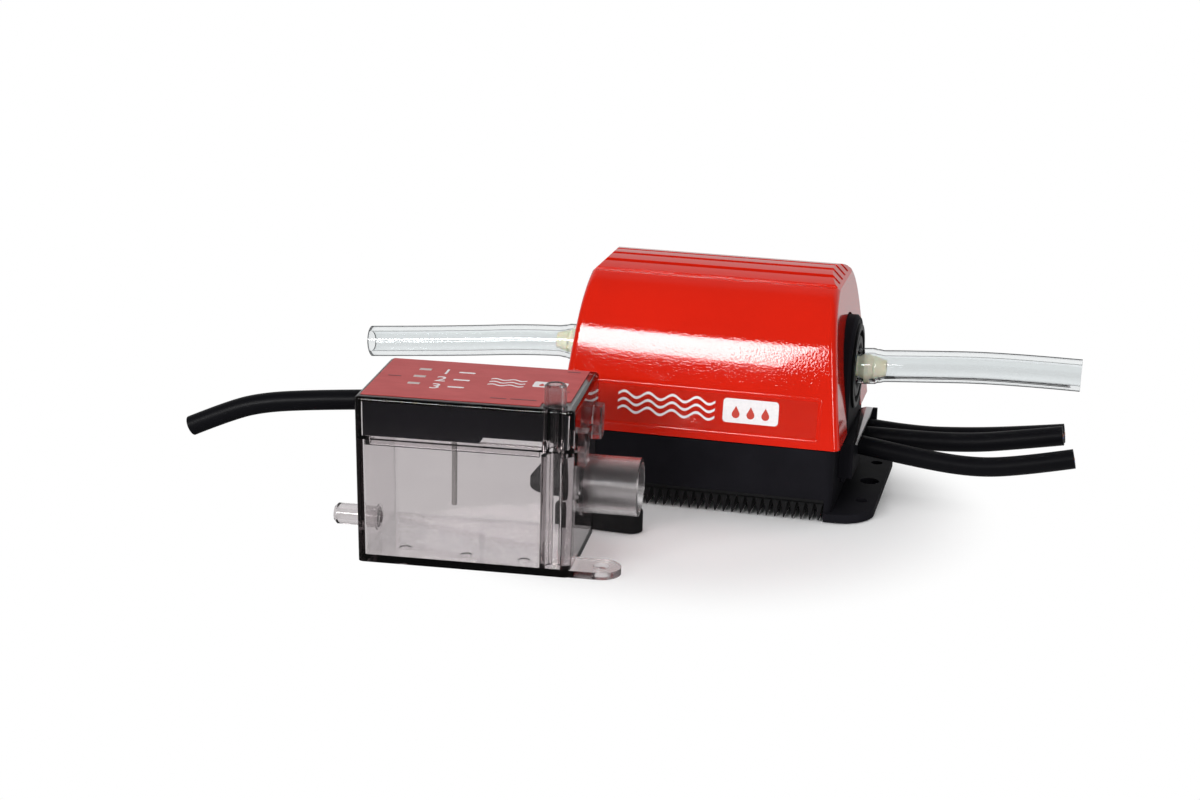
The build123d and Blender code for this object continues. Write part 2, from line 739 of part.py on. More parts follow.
def pump_cover():
    """Moulded shell: leaning ends, slotted top, chamfered noses, arched end cut-outs."""
    outer = cover_body(0)
    above = outer.edges().filter_by_position(Axis.Z, cover_bottom_z + 1, far)
    ends = [edge for edge in above if abs(edge.center().X) > nose_top_x - cover_edge_r]
    outer = fillet(ends, cover_edge_r)
    for index in range(slot_count):
        y = (index - (slot_count - 1) / 2) * slot_pitch
        outer -= block(-far, far, y - slot_width / 2, y + slot_width / 2, slot_floor_z, far)
    slope = (nose_top_x - nose_low_x) / (nose_top_z - nose_low_z)
    nose_rise = cover_top_z - nose_low_z + 1
    outer -= across([(nose_low_x, nose_low_z), (far, nose_low_z), (far, nose_low_z + nose_rise),
                     (nose_low_x + slope * nose_rise, nose_low_z + nose_rise)])
    inner = cover_body(cover_wall)
    inner -= block(-far, far, -far, far, slot_floor_z - cover_wall, far)
    shell = outer - inner
    opening_r = ring_r + cutout_gap
    opening = Pos(0, axis_z) * Circle(opening_r)
    opening += Pos(0, axis_z / 2) * Rectangle(2 * opening_r, axis_z)
    shell -= Pos(-far / 2, 0, 0) * extrude(Plane.YZ * opening, far)
    return shell


def cover_label():
    """Clear sticker on the flat lower front of the cover."""
    rise = side_top_z - cover_bottom_z
    fall = cover_half_width - side_top_y
    slope = fall / rise
    y0 = -(cover_half_width - slope * (label_z0 - cover_bottom_z))
    y1 = -(cover_half_width - slope * (label_z1 - cover_bottom_z))
    section = Polyline((y0 - 0.02, label_z0), (y1 - 0.02, label_z1),
                       (y1 - label_thick, label_z1), (y0 - label_thick, label_z0), close=True)
    strip = extrude(Plane.YZ * make_face(section), 2 * label_half_length)
    return Pos(-label_half_length, 0, 0) * strip


# ---------------------------------------------------------------- reservoir, in its own frame
def drafted(length, depth, z0, z1, inset, corner):
    """Upright block whose sides lean out by the tank's draft; sizes are at the lid's top."""
    low = (tank_height - z0) * tank_draft + inset
    high = (tank_height - z1) * tank_draft + inset
    bottom = Pos(0, 0, z0) * RectangleRounded(length - 2 * low, depth - 2 * low, corner)
    top = Pos(0, 0, z1) * RectangleRounded(length - 2 * high, depth - 2 * high, corner)
    return loft([bottom, top])


def side_x(z):
    """Half length of the tank at a height."""
    return tank_length / 2 - (tank_height - z) * tank_draft


def clip_blocks(low, high, reach):
    """Four clip blocks on the two end walls between two heights."""
    blocks = []
    middle = (low + high) / 2
    for side in (-1, 1):
        for y in clip_y:
            wall = side_x(middle) - 1
            piece = block(wall, side_x(middle) + reach, y - clip_width / 2, y + clip_width / 2,
                          low, high)
            piece = fillet(piece.edges().filter_by(Axis.Z).sort_by(Axis.X)[-2:], 0.8)
            blocks.append(piece if side > 0 else mirror(piece, Plane.YZ))
    return blocks


def clip_slots(low, high, play):
    """The tongue that each lid clip drops into its keeper on the tank."""
    slots = []
    for side in (-1, 1):
        for y in clip_y:
            x0 = side_x(lid_z) + 0.9 - play
            x1 = side_x(lid_z) + 2.0 + play
            piece = block(x0, x1, y - 1.5 - play, y + 1.5 + play, low - play, high)
            slots.append(piece if side > 0 else mirror(piece, Plane.YZ))
    return slots


def tank():
    """Clear tank: drafted walls, hose spigots, vent well, keepers and one screw tab."""
    body = drafted(tank_length, tank_depth, 0, lid_z - hair, 0, tank_corner)
    tab = rod_z(tab_hole_x, tab_y, 0, tab_thick, tab_r)
    tab += block(side_x(0) - 1, tab_hole_x, tab_y - tab_r, tab_y + tab_r, 0, tab_thick)
    body += tab
    inlet = rod_x(side_x(inlet_z) - 1, inlet_mouth_x, inlet_r, 0, inlet_z)
    inlet = chamfer(inlet.faces().sort_by(Axis.X)[-1].edges(), 0.7, inlet_bevel)
    body += inlet
    body += rod_x(side_x(inlet_z) - 1, side_x(inlet_z) + spigot_collar,
                  inlet_r + spigot_collar_rise, 0, inlet_z)
    drain = rod_x(drain_tip_x, -side_x(drain_z) + 1, drain_r, 0, drain_z)
    drain = chamfer(drain.faces().sort_by(Axis.X)[0].edges(), 0.9)
    body += drain
    body += rod_x(-side_x(drain_z) - spigot_collar, 1 - side_x(drain_z),
                  drain_r + spigot_collar_rise, 0, drain_z)
    for piece in clip_blocks(lid_z - clip_drop, lid_z - gap, clip_reach):
        body += piece
    body -= drafted(tank_length, tank_depth, tank_wall, lid_z + 1, tank_wall, tank_corner / 2)
    front = -tank_depth / 2 + 1.0
    well = rod_z(vent_x + 0.3, vent_y, tank_wall - 0.2, well_top_z, well_r)
    well += block(vent_x - 2, side_x(0) - 0.5, front, vent_y + well_r, tank_wall - 0.2, well_top_z)
    inside = drafted(tank_length, tank_depth, 0.5, lid_z - hair, 0.4, tank_corner / 2)
    well = well & inside
    well -= rod_z(vent_x + 0.3, vent_y, tank_wall, well_top_z + 1, well_bore_r)
    well -= block(vent_x - 0.6, vent_x + 1.2, vent_y, vent_y + 10, tank_wall, well_top_z + 1)
    body += well
    body -= rod_x(side_x(inlet_z) - 4, inlet_mouth_x + 1, inlet_r - inlet_wall, 0, inlet_z)
    body -= rod_x(drain_tip_x - 1, -side_x(drain_z) + 4, drain_bore_r, 0, drain_z)
    body -= rod_z(tab_hole_x, tab_y, -1, tab_thick + 1, tab_hole_r)
    for x, y in marks:
        body -= rod_z(x, y, tank_wall - mark_depth, tank_wall + 1, mark_r)
    for piece in clip_slots(lid_z - clip_drop + 1.2, lid_z + 1, 0.25):
        body -= piece
    return body


def lid_space(z0, z1, play):
    """The room inside the lid's walls between two heights."""
    return drafted(tank_length, tank_depth, z0, z1, lid_wall + play, tank_corner / 2)


def tank_lid():
    """Clear cap with the vent spigot, locating skirt and clip tongues."""
    body = drafted(tank_length, tank_depth, lid_z, tank_height, 0, tank_corner)
    body = fillet(body.faces().sort_by(Axis.Z)[-1].edges(), 1.0)
    skirt = drafted(tank_length, tank_depth, lid_z - skirt_depth, lid_z + 1, tank_wall + gap,
                    tank_corner / 2)
    body += skirt
    body -= drafted(tank_length, tank_depth, lid_z - skirt_depth - 1, lid_z,
                    tank_wall + gap + skirt_wall, tank_corner / 2)
    body -= lid_space(lid_z + skirt_top, tank_height - lid_wall, 0)
    body -= drafted(tank_length, tank_depth, lid_z - 0.5, lid_z + 1.5, tank_wall + gap + skirt_wall,
                    tank_corner / 2)
    well_gap = well_r + gap
    body -= block(vent_x + 0.3 - well_gap, tank_length, -tank_depth, vent_y + well_gap,
                  lid_z - skirt_depth - 1, lid_z - hair)
    for piece in clip_blocks(lid_z + gap, lid_z + clip_rise, clip_reach):
        body += piece
    for piece in clip_slots(lid_z - clip_drop + 1.2, lid_z + 1, 0):
        body += piece
    vent = rod_z(vent_x, vent_y, lid_z, vent_top_z, vent_r)
    vent = chamfer(vent.faces().sort_by(Axis.Z)[-1].edges(), 0.5)
    body += vent
    label_top_z = tank_height + label_seam + lid_label_thick
    body += rod_z(vent_x, vent_y, lid_z, label_top_z + vent_collar, vent_r + vent_collar_rise)
    body -= rod_z(vent_x, vent_y, lid_z - skirt_depth - 1, vent_top_z + 1, vent_bore_r)
    wall = side_x(sensor_cable_z)
    body -= rod_x(-wall - 1, -wall + lid_wall + 1, bush_r, 0, sensor_cable_z)
    body -= rod_z(probe_x, 0, lid_z - 5, lid_z + 3, probe_r + 0.4)
    return body


def sensor_board():
    """Circuit board in the lid."""
    return block(*sensor_board_x, -sensor_board_half_y, sensor_board_half_y,
                 sensor_board_z, sensor_board_z + sensor_board_thick)


def board_parts():
    """Sensing chip, regulator and relay on the underside of the board."""
    low = sensor_board_z - hair
    end = sensor_board_x[0]
    parts = [block(end + x0, end + x1, y0, y1, low - depth, low)
             for x0, x1, y0, y1, depth in board_components]
    return Compound(children=parts)


def status_leds():
    """Three small lamps on top of the board, under their windows."""
    top = sensor_board_z + sensor_board_thick + hair
    lamps = [block(led_x - 1.4, led_x + 1.4, y - 0.7, y + 0.7, top, top + 1.2) for y in led_y]
    return Compound(children=lamps)


def potting_block():
    """Black resin that fills the lid round the board."""
    body = lid_space(potting_z0, tank_height - lid_wall - hair, hair)
    margin = hair
    half_y = sensor_board_half_y + margin
    body -= block(sensor_board_x[0] - margin, sensor_board_x[1] + margin, -half_y, half_y,
                  sensor_board_z - margin, sensor_board_z + sensor_board_thick + margin)
    low = sensor_board_z
    end = sensor_board_x[0]
    for x0, x1, y0, y1, depth in board_components:
        body -= block(end + x0 - margin, end + x1 + margin, y0 - margin, y1 + margin,
                      low - depth - 2 * margin, low)
    top = sensor_board_z + sensor_board_thick
    for y in led_y:
        body -= block(led_x - 1.7, led_x + 1.7, y - 0.8, y + 0.8, top, tank_height)
    body -= block(notch_x0, notch_x1, -tank_depth, -tank_depth / 2 + lid_wall + notch_depth,
                  potting_z0 - 1, potting_z0 + notch_height)
    body -= rod_z(vent_x, vent_y, 0, tank_height, vent_r + vent_collar_rise + hair)
    body -= rod_z(probe_x, 0, 0, sensor_board_z, probe_r + hair)
    bush_end = -side_x(sensor_cable_z) + lid_wall + 1.4
    body -= rod_x(-tank_length, bush_end, bush_r + bush_flange + gap / 2, 0, sensor_cable_z)
    return body


def level_probe():
    """Stainless sensing rod with a small collar under the board."""
    rod = rod_z(probe_x, 0, probe_low_z, sensor_board_z - hair, probe_r)
    return fillet(rod.faces().sort_by(Axis.Z)[0].edges(), 0.3)


def lid_label():
    """Printed label on the lid with a corner cut for the vent and three windows."""
    z = tank_height + label_seam
    outline = Polyline(*lid_label_corners, close=True)
    sheet = Pos(0, 0, z) * extrude(make_face(outline), lid_label_thick)
    for y in led_y:
        sheet -= block(led_x - led_length / 2 - hair, led_x + led_length / 2 + hair,
                       y - led_width / 2 - hair, y + led_width / 2 + hair, z - 1, z + 1)
    return sheet


def led_lenses():
    """Three clear windows set in the label."""
    z = tank_height + label_seam
    lenses = [block(led_x - led_length / 2, led_x + led_length / 2, y - led_width / 2,
                    y + led_width / 2, z, z + lens_thick) for y in led_y]
    return Compound(children=lenses)


def cable_bush():
    """Rubber bush that seals the sensor cable in the lid's end wall."""
    wall = side_x(sensor_cable_z)
    body = rod_x(-wall + 0.1, -wall + lid_wall + 0.2, bush_r - hair, 0, sensor_cable_z)
    body += rod_x(-wall + lid_wall + 0.15, -wall + lid_wall + 1.3, bush_r + bush_flange, 0,
                  sensor_cable_z)
    return body


def rear_bumper():
    """Black rubber strip lying behind the tank's corner."""
    length = hypot(bumper_x1 - bumper_x0, bumper_y1 - bumper_y0)
    body = extrude(SlotCenterToCenter(length, 2 * bumper_r), bumper_height)
    body = fillet(body.faces().sort_by(Axis.Z)[-1].edges(), 1.2)
    turn = degrees(atan2(bumper_y1 - bumper_y0, bumper_x1 - bumper_x0))
    return Pos((bumper_x0 + bumper_x1) / 2, (bumper_y0 + bumper_y1) / 2, 0) * Rot(0, 0, turn) * body


# ---------------------------------------------------------------- assembly
keep("base_tray", base_tray())
keep("rib_pad", rib_pad())
for end, side in (("inlet", -1), ("outlet", 1)):
    keep(end + "_grommet", grommet(side))
    keep(end + "_fitting", fitting(side))
keep("pump_cylinder", pump_cylinder())
keep("cylinder_seals", cylinder_seals())
keep("plunger", plunger())
keep("plunger_valve", plunger_valve())
half_plunger = plunger_length / 2
keep("return_spring", coil_spring_x(-spigot_x + hair, plunger_step - half_plunger - hair,
                                    spring_r, spring_wire, spring_turns))
keep("buffer_spring", coil_spring_x(half_plunger - plunger_step + hair, spigot_x - hair,
                                    spring_r, spring_wire, spring_turns))
keep("outlet_valve", outlet_valve())
keep("valve_spring", coil_spring_x(valve_seat_x + valve_thick + 2 * hair,
                                   valve_chamber_end_x - hair, 1.9, 0.5, 4))
keep("pole_sleeves", pole_sleeves())
keep("coil_bobbin", coil_bobbin())
keep("coil_winding", coil_winding())
keep("solenoid_yoke", solenoid_yoke())
keep("thermal_cutout", thermal_cutout())
keep("terminal_board", terminal_board())
keep("terminal_block", terminal_block())
keep("terminal_screws", terminal_screws())
keep("board_screws", board_screws())
keep("core_wires", core_wires())
keep("coil_leads", coil_leads())
keep("cable_clamp", cable_clamp())
keep("clamp_plate", clamp_plate())
keep("cable_tails", cable_tails())
keep("pump_cover", pump_cover())
keep("cover_label", cover_label())
keep("inlet_tube", cord("inlet_tube", inlet_tube_route, tube_r, tube_bore_r))
keep("outlet_tube", cord("outlet_tube", outlet_tube_route, tube_r, tube_bore_r))
keep("supply_cable", cord("supply_cable", supply_cable_route, cable_r))
keep("alarm_cable", cord("alarm_cable", alarm_cable_route, cable_r))
keep("signal_cable", cord("signal_cable", signal_cable_route, cable_r))

tank_place = Pos(tank_x, tank_y, 0) * Rot(0, 0, tank_turn)
for name, shape in (("tank", tank()), ("tank_lid", tank_lid()), ("sensor_board", sensor_board()),
                    ("board_parts", board_parts()), ("status_leds", status_leds()),
                    ("potting_block", potting_block()), ("level_probe", level_probe()),
                    ("lid_label", lid_label()), ("led_lenses", led_lenses()),
                    ("cable_bush", cable_bush()), ("rear_bumper", rear_bumper()),
                    ("sensor_cable", cord("sensor_cable", sensor_cable_route, sensor_cable_r))):
    keep(name, tank_place * shape)

for name, shape in built.items():
    export_step(shape, f"parts/{name}.step")
print(len(built), "nodes written")
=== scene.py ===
"""Dresses the mini condensate pump and its sensing reservoir: camera, light, finishes,
hoses and cables, prints and fine pieces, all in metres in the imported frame."""
import json
from math import cos, pi, radians, sin

import bmesh
import bpy
from mathutils import Matrix, Vector

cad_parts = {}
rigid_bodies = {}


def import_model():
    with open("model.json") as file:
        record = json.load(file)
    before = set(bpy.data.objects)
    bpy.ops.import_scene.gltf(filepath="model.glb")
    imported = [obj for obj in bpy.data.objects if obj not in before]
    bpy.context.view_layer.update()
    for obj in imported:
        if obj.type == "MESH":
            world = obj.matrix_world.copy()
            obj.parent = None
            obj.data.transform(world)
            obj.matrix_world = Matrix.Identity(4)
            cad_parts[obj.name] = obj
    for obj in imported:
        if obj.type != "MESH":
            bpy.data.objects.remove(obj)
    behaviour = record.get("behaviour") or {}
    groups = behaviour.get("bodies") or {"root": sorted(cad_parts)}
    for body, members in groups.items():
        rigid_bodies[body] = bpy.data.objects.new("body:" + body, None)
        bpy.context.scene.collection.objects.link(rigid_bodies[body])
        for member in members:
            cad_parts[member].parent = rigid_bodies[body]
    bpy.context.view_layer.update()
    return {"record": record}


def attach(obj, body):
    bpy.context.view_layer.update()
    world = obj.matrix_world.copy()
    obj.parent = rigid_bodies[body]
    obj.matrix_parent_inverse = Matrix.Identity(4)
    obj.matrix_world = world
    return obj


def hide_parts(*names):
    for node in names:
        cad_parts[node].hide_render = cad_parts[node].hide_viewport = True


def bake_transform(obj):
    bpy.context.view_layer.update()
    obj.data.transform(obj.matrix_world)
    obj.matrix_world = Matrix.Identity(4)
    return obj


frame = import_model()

MM = 0.001

# ---------------------------------------------------------------- sizes, in millimetres
tank_place = (-51.4, -82.5)      # the reservoir's own origin on the standing surface
tank_turn = radians(4.38)
tank_length, tank_top = 60.0, 46.9
tank_draft = 0.0147               # how far the walls lean in for each mm down
clip_y, clip_z = (-14.6, 10.1), (30.4, 40.8)
clip_half = 3.4                   # half the width of wall that one clip block takes
wall_slack = 0.03                 # a point this near the wall counts as on it
clip_press = 0.98                 # share of a block's rise that is pressed away

hose_r, hose_bore_r = 4.75, 3.2
hose_play = 0.06                  # between a hose's bore and the barb inside it
wall_loss = 0.55                  # how strongly a stretched bore thins the wall
barb_end = 50.6
# distance from the pump's middle and radius, along the barb on either end
barb_profile = ((42.6, 3.03), (43.3, 3.4), (44.3, 3.9), (45.6, 3.9), (46.6, 3.3), (47.1, 3.5),
                (barb_end, 2.35))
cable_r, sensor_cable_r = 2.9, 2.8

rib_count, rib_pitch, rib_depth = 30, 2.55, 5.2
pad_top = 6.35
pad_half_width = 33.7

axis_z = 38.3                     # height of the pump's own axis
winding_half, winding_r, wire_r = 14.6, 15.4, 0.42

label_top = 47.14                 # top of the lid's printed sheet
film_z0 = 24.6                    # lower edge of the film on the cover's flat front
film_lean = 0.15                  # how far the front leans back for each mm of height
film_y0 = -33.48
print_thick = 0.05
rim_half, rim_z0, rim_z1 = 36.1, 23.4, 36.6
rim_width, rim_rise = 1.0, 0.17

# piece, node, sliding body, X of the end that stays and of the seat that moves
springs = (("return_coils", "return_spring", "plunger", -28.37, -13.5),
           ("buffer_coils", "buffer_spring", "plunger", 28.37, 13.5),
           ("valve_coils", "valve_spring", "outlet_valve", 36.4, 33.15))

inlet_route = [(-41.9, 0, 38.3), (-57.0, 0, 38.1), (-84.5, 0, 35.0), (-111.2, 0, 32.7)]
outlet_route = [(41.9, 0, 38.3), (62.0, 0, 39.9), (85.0, 0, 41.4), (107.4, 0, 41.2)]
supply_route = [(43.2, -6, 15.9), (60, -6, 13.4), (78, -6.4, 11.9), (92, -6, 13.6),
                (107.6, -5.4, 17.3)]
alarm_route = [(43.2, 3, 15.9), (60, 3, 15.8), (77, 3.2, 16.5), (91, 3, 19.0), (103.7, 3, 21.5)]
signal_route = [(43.2, 12, 15.9), (58, 12, 14.5), (76, 12, 15.7), (91, 12, 17.6),
                (103.9, 12, 19.6)]
# in the reservoir's own frame
sensor_route = [(-29.9, 0, 40.2), (-46.0, 0, 39.0), (-62.5, 0, 37.0), (-73.0, 0, 33.2),
                (-82.4, 0, 28.8)]


def in_pump_frame(point):
    """A point of the reservoir's own frame in the pump's frame, in millimetres."""
    x, y, z = point
    across, along = cos(tank_turn), sin(tank_turn)
    return (tank_place[0] + x * across - y * along, tank_place[1] + x * along + y * across, z)


def in_tank_frame(point):
    """A point of the pump's frame in the reservoir's own frame, in millimetres."""
    x, y = point[0] - tank_place[0], point[1] - tank_place[1]
    across, along = cos(tank_turn), sin(tank_turn)
    return (x * across + y * along, y * across - x * along, point[2])


# ---------------------------------------------------------------- shader maths
class Value:
    """One output of a material's nodes; arithmetic on it adds Math nodes."""

    def __init__(self, finish, socket):
        self.finish = finish
        self.socket = socket

    def math(self, operation, first, second):
        return self.finish.node("ShaderNodeMath", {"operation": operation},
                                {0: first, 1: second})

    def __add__(self, other):
        return self.math("ADD", self, other)

    __radd__ = __add__

    def __sub__(self, other):
        return self.math("SUBTRACT", self, other)

    def __rsub__(self, other):
        return self.math("SUBTRACT", other, self)

    def __mul__(self, other):
        return self.math("MULTIPLY", self, other)

    def __lt__(self, other):
        return self.math("LESS_THAN", self, other)

    def __mod__(self, other):
        return self.math("FLOORED_MODULO", self, other)

    def larger(self, other):
        return self.math("MAXIMUM", self, other)

    def ramp(self, start, end):
        """0 below start, 1 above end, smooth between."""
        return self.finish.node("ShaderNodeMapRange", {"interpolation_type": "SMOOTHSTEP"},
                                {"Value": self, "From Min": start, "From Max": end})


class Finish:
    """A procedural material on Object coordinates, built round one Principled shader."""

    def __init__(self, name, **fixed):
        self.material = bpy.data.materials.new(name)
        self.material.use_nodes = True
        self.tree = self.material.node_tree
        self.shader = self.tree.nodes["Principled BSDF"]
        self.output = self.tree.nodes["Material Output"]
        for socket, value in fixed.items():
            self.shader.inputs[socket.replace("_", " ")].default_value = value

    def node(self, kind, settings=None, sockets=None, out=0):
        """Any node: its settings first, then the values or links of its sockets."""
        made = self.tree.nodes.new(kind)
        for setting, value in (settings or {}).items():
            setattr(made, setting, value)
        for socket, value in (sockets or {}).items():
            self.feed(made.inputs[socket], value)
        return Value(self, made.outputs[out])

    def feed(self, socket, value):
        """Link a value to a socket, or set a number on it."""
        if isinstance(value, Value):
            self.tree.links.new(value.socket, socket)
        else:
            socket.default_value = value

    def set(self, socket, value):
        self.feed(self.shader.inputs[socket], value)

    def place(self, origin=(0, 0, 0), turn=0.0, stretch=(1, 1, 1)):
        """Object coordinates, seen from an origin in metres, turned about Z, stretched."""
        point = self.node("ShaderNodeTexCoord", out="Object")
        point = self.node("ShaderNodeMapping", {"vector_type": "TEXTURE"},
                          {"Vector": point, "Location": origin, "Rotation": (0, 0, turn)})
        return self.node("ShaderNodeVectorMath", {"operation": "MULTIPLY"},
                         {0: point, 1: stretch})

    def tank_point(self):
        """Object coordinates in the reservoir's own frame."""
        return self.place((tank_place[0] * MM, tank_place[1] * MM, 0), tank_turn)

    def outputs(self, value, *names):
        """Named outputs of the node that a value comes from."""
        sockets = value.socket.node.outputs
        return [Value(self, sockets[name]) for name in names]

    def axes(self, point):
        """The three coordinates of a point."""
        split = self.node("ShaderNodeSeparateXYZ", None, {"Vector": point})
        return self.outputs(split, "X", "Y", "Z")

    def noise(self, scale, detail=2.0, stretch=(1, 1, 1), rough=0.5):
        return self.node("ShaderNodeTexNoise", None,
                         {"Vector": self.place(stretch=stretch), "Scale": scale,
                          "Detail": detail, "Roughness": rough})

    def colour(self, mask, first, second):
        """The first colour where the mask is 0, the second where it is 1."""
        first = first if isinstance(first, Value) else (*first, 1)
        second = second if isinstance(second, Value) else (*second, 1)
        return self.node("ShaderNodeMix", {"data_type": "RGBA"},
                         {0: mask, 6: first, 7: second}, out=2)

    def cover(self, surface):
        """Make a shader the material's surface."""
        self.tree.links.new(surface.socket, self.output.inputs["Surface"])

    def absorb(self, colour, density):
        """Light lost inside the solid, a density per metre."""
        inside = self.node("ShaderNodeVolumeAbsorption", None,
                           {"Color": (*colour, 1), "Density": density})
        self.tree.links.new(inside.socket, self.output.inputs["Volume"])

    def clear_to_lamps(self, tint):
        """Lets the lamps' light pass, so that what is inside and below is lit."""
        shadow_ray = self.node("ShaderNodeLightPath", out="Is Shadow Ray")
        passing = self.node("ShaderNodeBsdfTransparent", None, {"Color": (*tint, 1)})
        earlier = Value(self, self.output.inputs["Surface"].links[0].from_socket)
        self.cover(self.node("ShaderNodeMixShader", None,
                             {0: shadow_ray, 1: earlier, 2: passing}))

    def painted_edge_shade(self, mask):
        """Mixes a near-black surface in where the mask is 1: painted shade along an outline."""
        surface = Value(self, self.shader.outputs[0])
        # painted shade: a near-black diffuse surface stands in for the darkness a clear solid
        # shows where it turns away from view
        dark = self.node("ShaderNodeBsdfDiffuse", None, {"Color": (0.02, 0.025, 0.03, 1)})
        self.cover(self.node("ShaderNodeMixShader", None, {0: mask, 1: surface, 2: dark}))

    def bump(self, height, depth, strength=1.0):
        """A bump of the given depth in metres, on top of any earlier one."""
        sockets = {"Height": height, "Distance": depth, "Strength": strength}
        earlier = self.shader.inputs["Normal"].links
        if earlier:
            sockets["Normal"] = Value(self, earlier[0].from_socket)
        self.set("Normal", self.node("ShaderNodeBump", None, sockets))


def shade(colour, factor):
    """A colour made lighter or darker."""
    return tuple(channel * factor for channel in colour)


# ---------------------------------------------------------------- finishes
def red_shell():
    """Glossy red moulding with a light orange peel."""
    finish = Finish("red_shell", Coat_Weight=0.5, Coat_Roughness=0.02, IOR=1.5)
    cloud = finish.noise(35, detail=3)
    peel = finish.noise(1500, detail=1, rough=0.5)
    speck = finish.noise(2600, detail=1)
    red = (0.60, 0.013, 0.0035)
    finish.set("Base Color", finish.colour(cloud.ramp(0.3, 0.7), shade(red, 0.96),
                                           shade(red, 1.04)))
    finish.set("Roughness", 0.035 + peel * 0.03)
    finish.bump(peel, 0.00004, 0.65)
    finish.bump(speck, 0.000006, 0.5)
    return finish.material


def moulded(name, colour, roughness, grain=2400, depth=0.00002, rub=0.12, **fixed):
    """Moulded plastic or rubber: fine grain, slight mottle and rubbed patches."""
    finish = Finish(name, **fixed)
    cloud = finish.noise(55, detail=4)
    rubbed = finish.noise(160, detail=5, rough=0.7)
    fine = finish.noise(grain, detail=2)
    finish.set("Base Color", finish.colour(cloud.ramp(0.25, 0.75), shade(colour, 0.82),
                                           shade(colour, 1.25)))
    finish.set("Roughness", roughness + (rubbed - 0.5) * rub)
    finish.bump(fine, depth)
    return finish.material


def drawn_metal(name, colour, roughness, stretch=(1, 14, 14), streak=0.2):
    """Metal with fine streaks along its working direction."""
    finish = Finish(name, Metallic=1.0)
    lines = finish.noise(260, detail=4, stretch=stretch, rough=0.65)
    stain = finish.noise(70, detail=4)
    finish.set("Base Color", finish.colour(stain.ramp(0.3, 0.8), colour, shade(colour, 0.78)))
    finish.set("Roughness", roughness + (lines - 0.5) * streak)
    finish.bump(lines, 0.000012)
    return finish.material


def clear_vinyl():
    """Clear hose: a faint green cast and slow ripples from the die, with painted shade that
    turns it near-black where its surface turns away from view.
    """
    finish = Finish("clear_vinyl", Transmission_Weight=1.0, IOR=1.5)
    ripple = finish.noise(70, detail=2, stretch=(0.2, 1, 1))
    facing = finish.node("ShaderNodeLayerWeight", out="Facing")
    clear = finish.colour(ripple, (0.86, 0.885, 0.89), (0.90, 0.92, 0.925))
    # Painted shade: colour and surface go near-black towards the hose's outline, in place of
    # the darkness its refraction gives
    finish.set("Base Color", finish.colour(facing.ramp(0.60, 0.88), clear, (0.10, 0.12, 0.13)))
    finish.painted_edge_shade(facing.ramp(0.55, 0.82) * 0.9)
    finish.set("Roughness", 0.002 + ripple * 0.008)
    finish.clear_to_lamps((0.95, 0.96, 0.96))
    return finish.material


def smoke_plastic():
    """Smoky clear moulding that darkens with every millimetre the light runs inside it,
    softly frosted on its right end and on the vent above the lid."""
    finish = Finish("smoke_plastic", Transmission_Weight=1.0, IOR=1.49)
    x, _, z = finish.axes(finish.tank_point())
    cloud = finish.noise(40, detail=3)
    wave = finish.noise(110, detail=2)
    frost = finish.noise(1300, detail=2)
    frosted = x.ramp(29.9 * MM, 30.6 * MM).larger(z.ramp(47.2 * MM, 47.8 * MM))
    finish.set("Base Color", finish.colour(cloud, (0.885, 0.865, 0.87), (0.915, 0.90, 0.90)))
    finish.set("Roughness", 0.01 + cloud * 0.015 + frosted * (0.17 + frost * 0.06))
    finish.bump(wave, 0.000015, 0.5)
    finish.absorb((0.30, 0.24, 0.255), 150)
    finish.clear_to_lamps((0.90, 0.885, 0.885))
    return finish.material


def clear_film():
    """Thin clear sticker over the red: a faint veil with a slightly wavy gloss."""
    finish = Finish("clear_film", Coat_Weight=0.5, Coat_Roughness=0.05, IOR=1.5)
    wave = finish.noise(140, detail=2)
    finish.set("Base Color", finish.colour(wave, (0.50, 0.040, 0.022), (0.60, 0.055, 0.035)))
    finish.set("Alpha", 0.07 + wave * 0.06)
    finish.set("Roughness", 0.10 + wave * 0.08)
    finish.bump(wave, 0.00003, 0.5)
    return finish.material


def printed_sheet():
    """Matt red printed film with a fine emboss and faint scuffs."""
    finish = Finish("label_red")
    pebble = finish.noise(1900, detail=2)
    scuff = finish.noise(90, detail=5, rough=0.7, stretch=(1, 3, 1))
    red = (0.47, 0.055, 0.055)
    finish.set("Base Color", finish.colour(scuff.ramp(0.35, 0.75), shade(red, 0.94),
                                           (0.52, 0.085, 0.085)))
    finish.set("Roughness", 0.42 + scuff * 0.14)
    finish.bump(pebble, 0.00002)
    return finish.material


def print_ink(name, colour):
    """Screen-printed ink with slightly uneven cover."""
    finish = Finish(name)
    cover = finish.noise(1500, detail=3)
    finish.set("Base Color", finish.colour(cover.ramp(0.3, 0.7), shade(colour, 0.93), colour))
    finish.set("Roughness", 0.4 + cover * 0.15)
    finish.bump(cover, 0.000008)
    return finish.material


def cable_jacket():
    """Shiny black cable sheath with slow ripples along it."""
    finish = Finish("cable_jacket", Specular_IOR_Level=0.07)
    ripple = finish.noise(150, detail=3, stretch=(0.35, 1, 1))
    fine = finish.noise(1800, detail=2)
    finish.set("Base Color", finish.colour(ripple, (0.0033, 0.0033, 0.0042),
                                           (0.006, 0.006, 0.0075)))
    finish.set("Roughness", 0.30 + ripple * 0.16)
    finish.bump(ripple, 0.00006, 0.6)
    finish.bump(fine, 0.00001)
    return finish.material


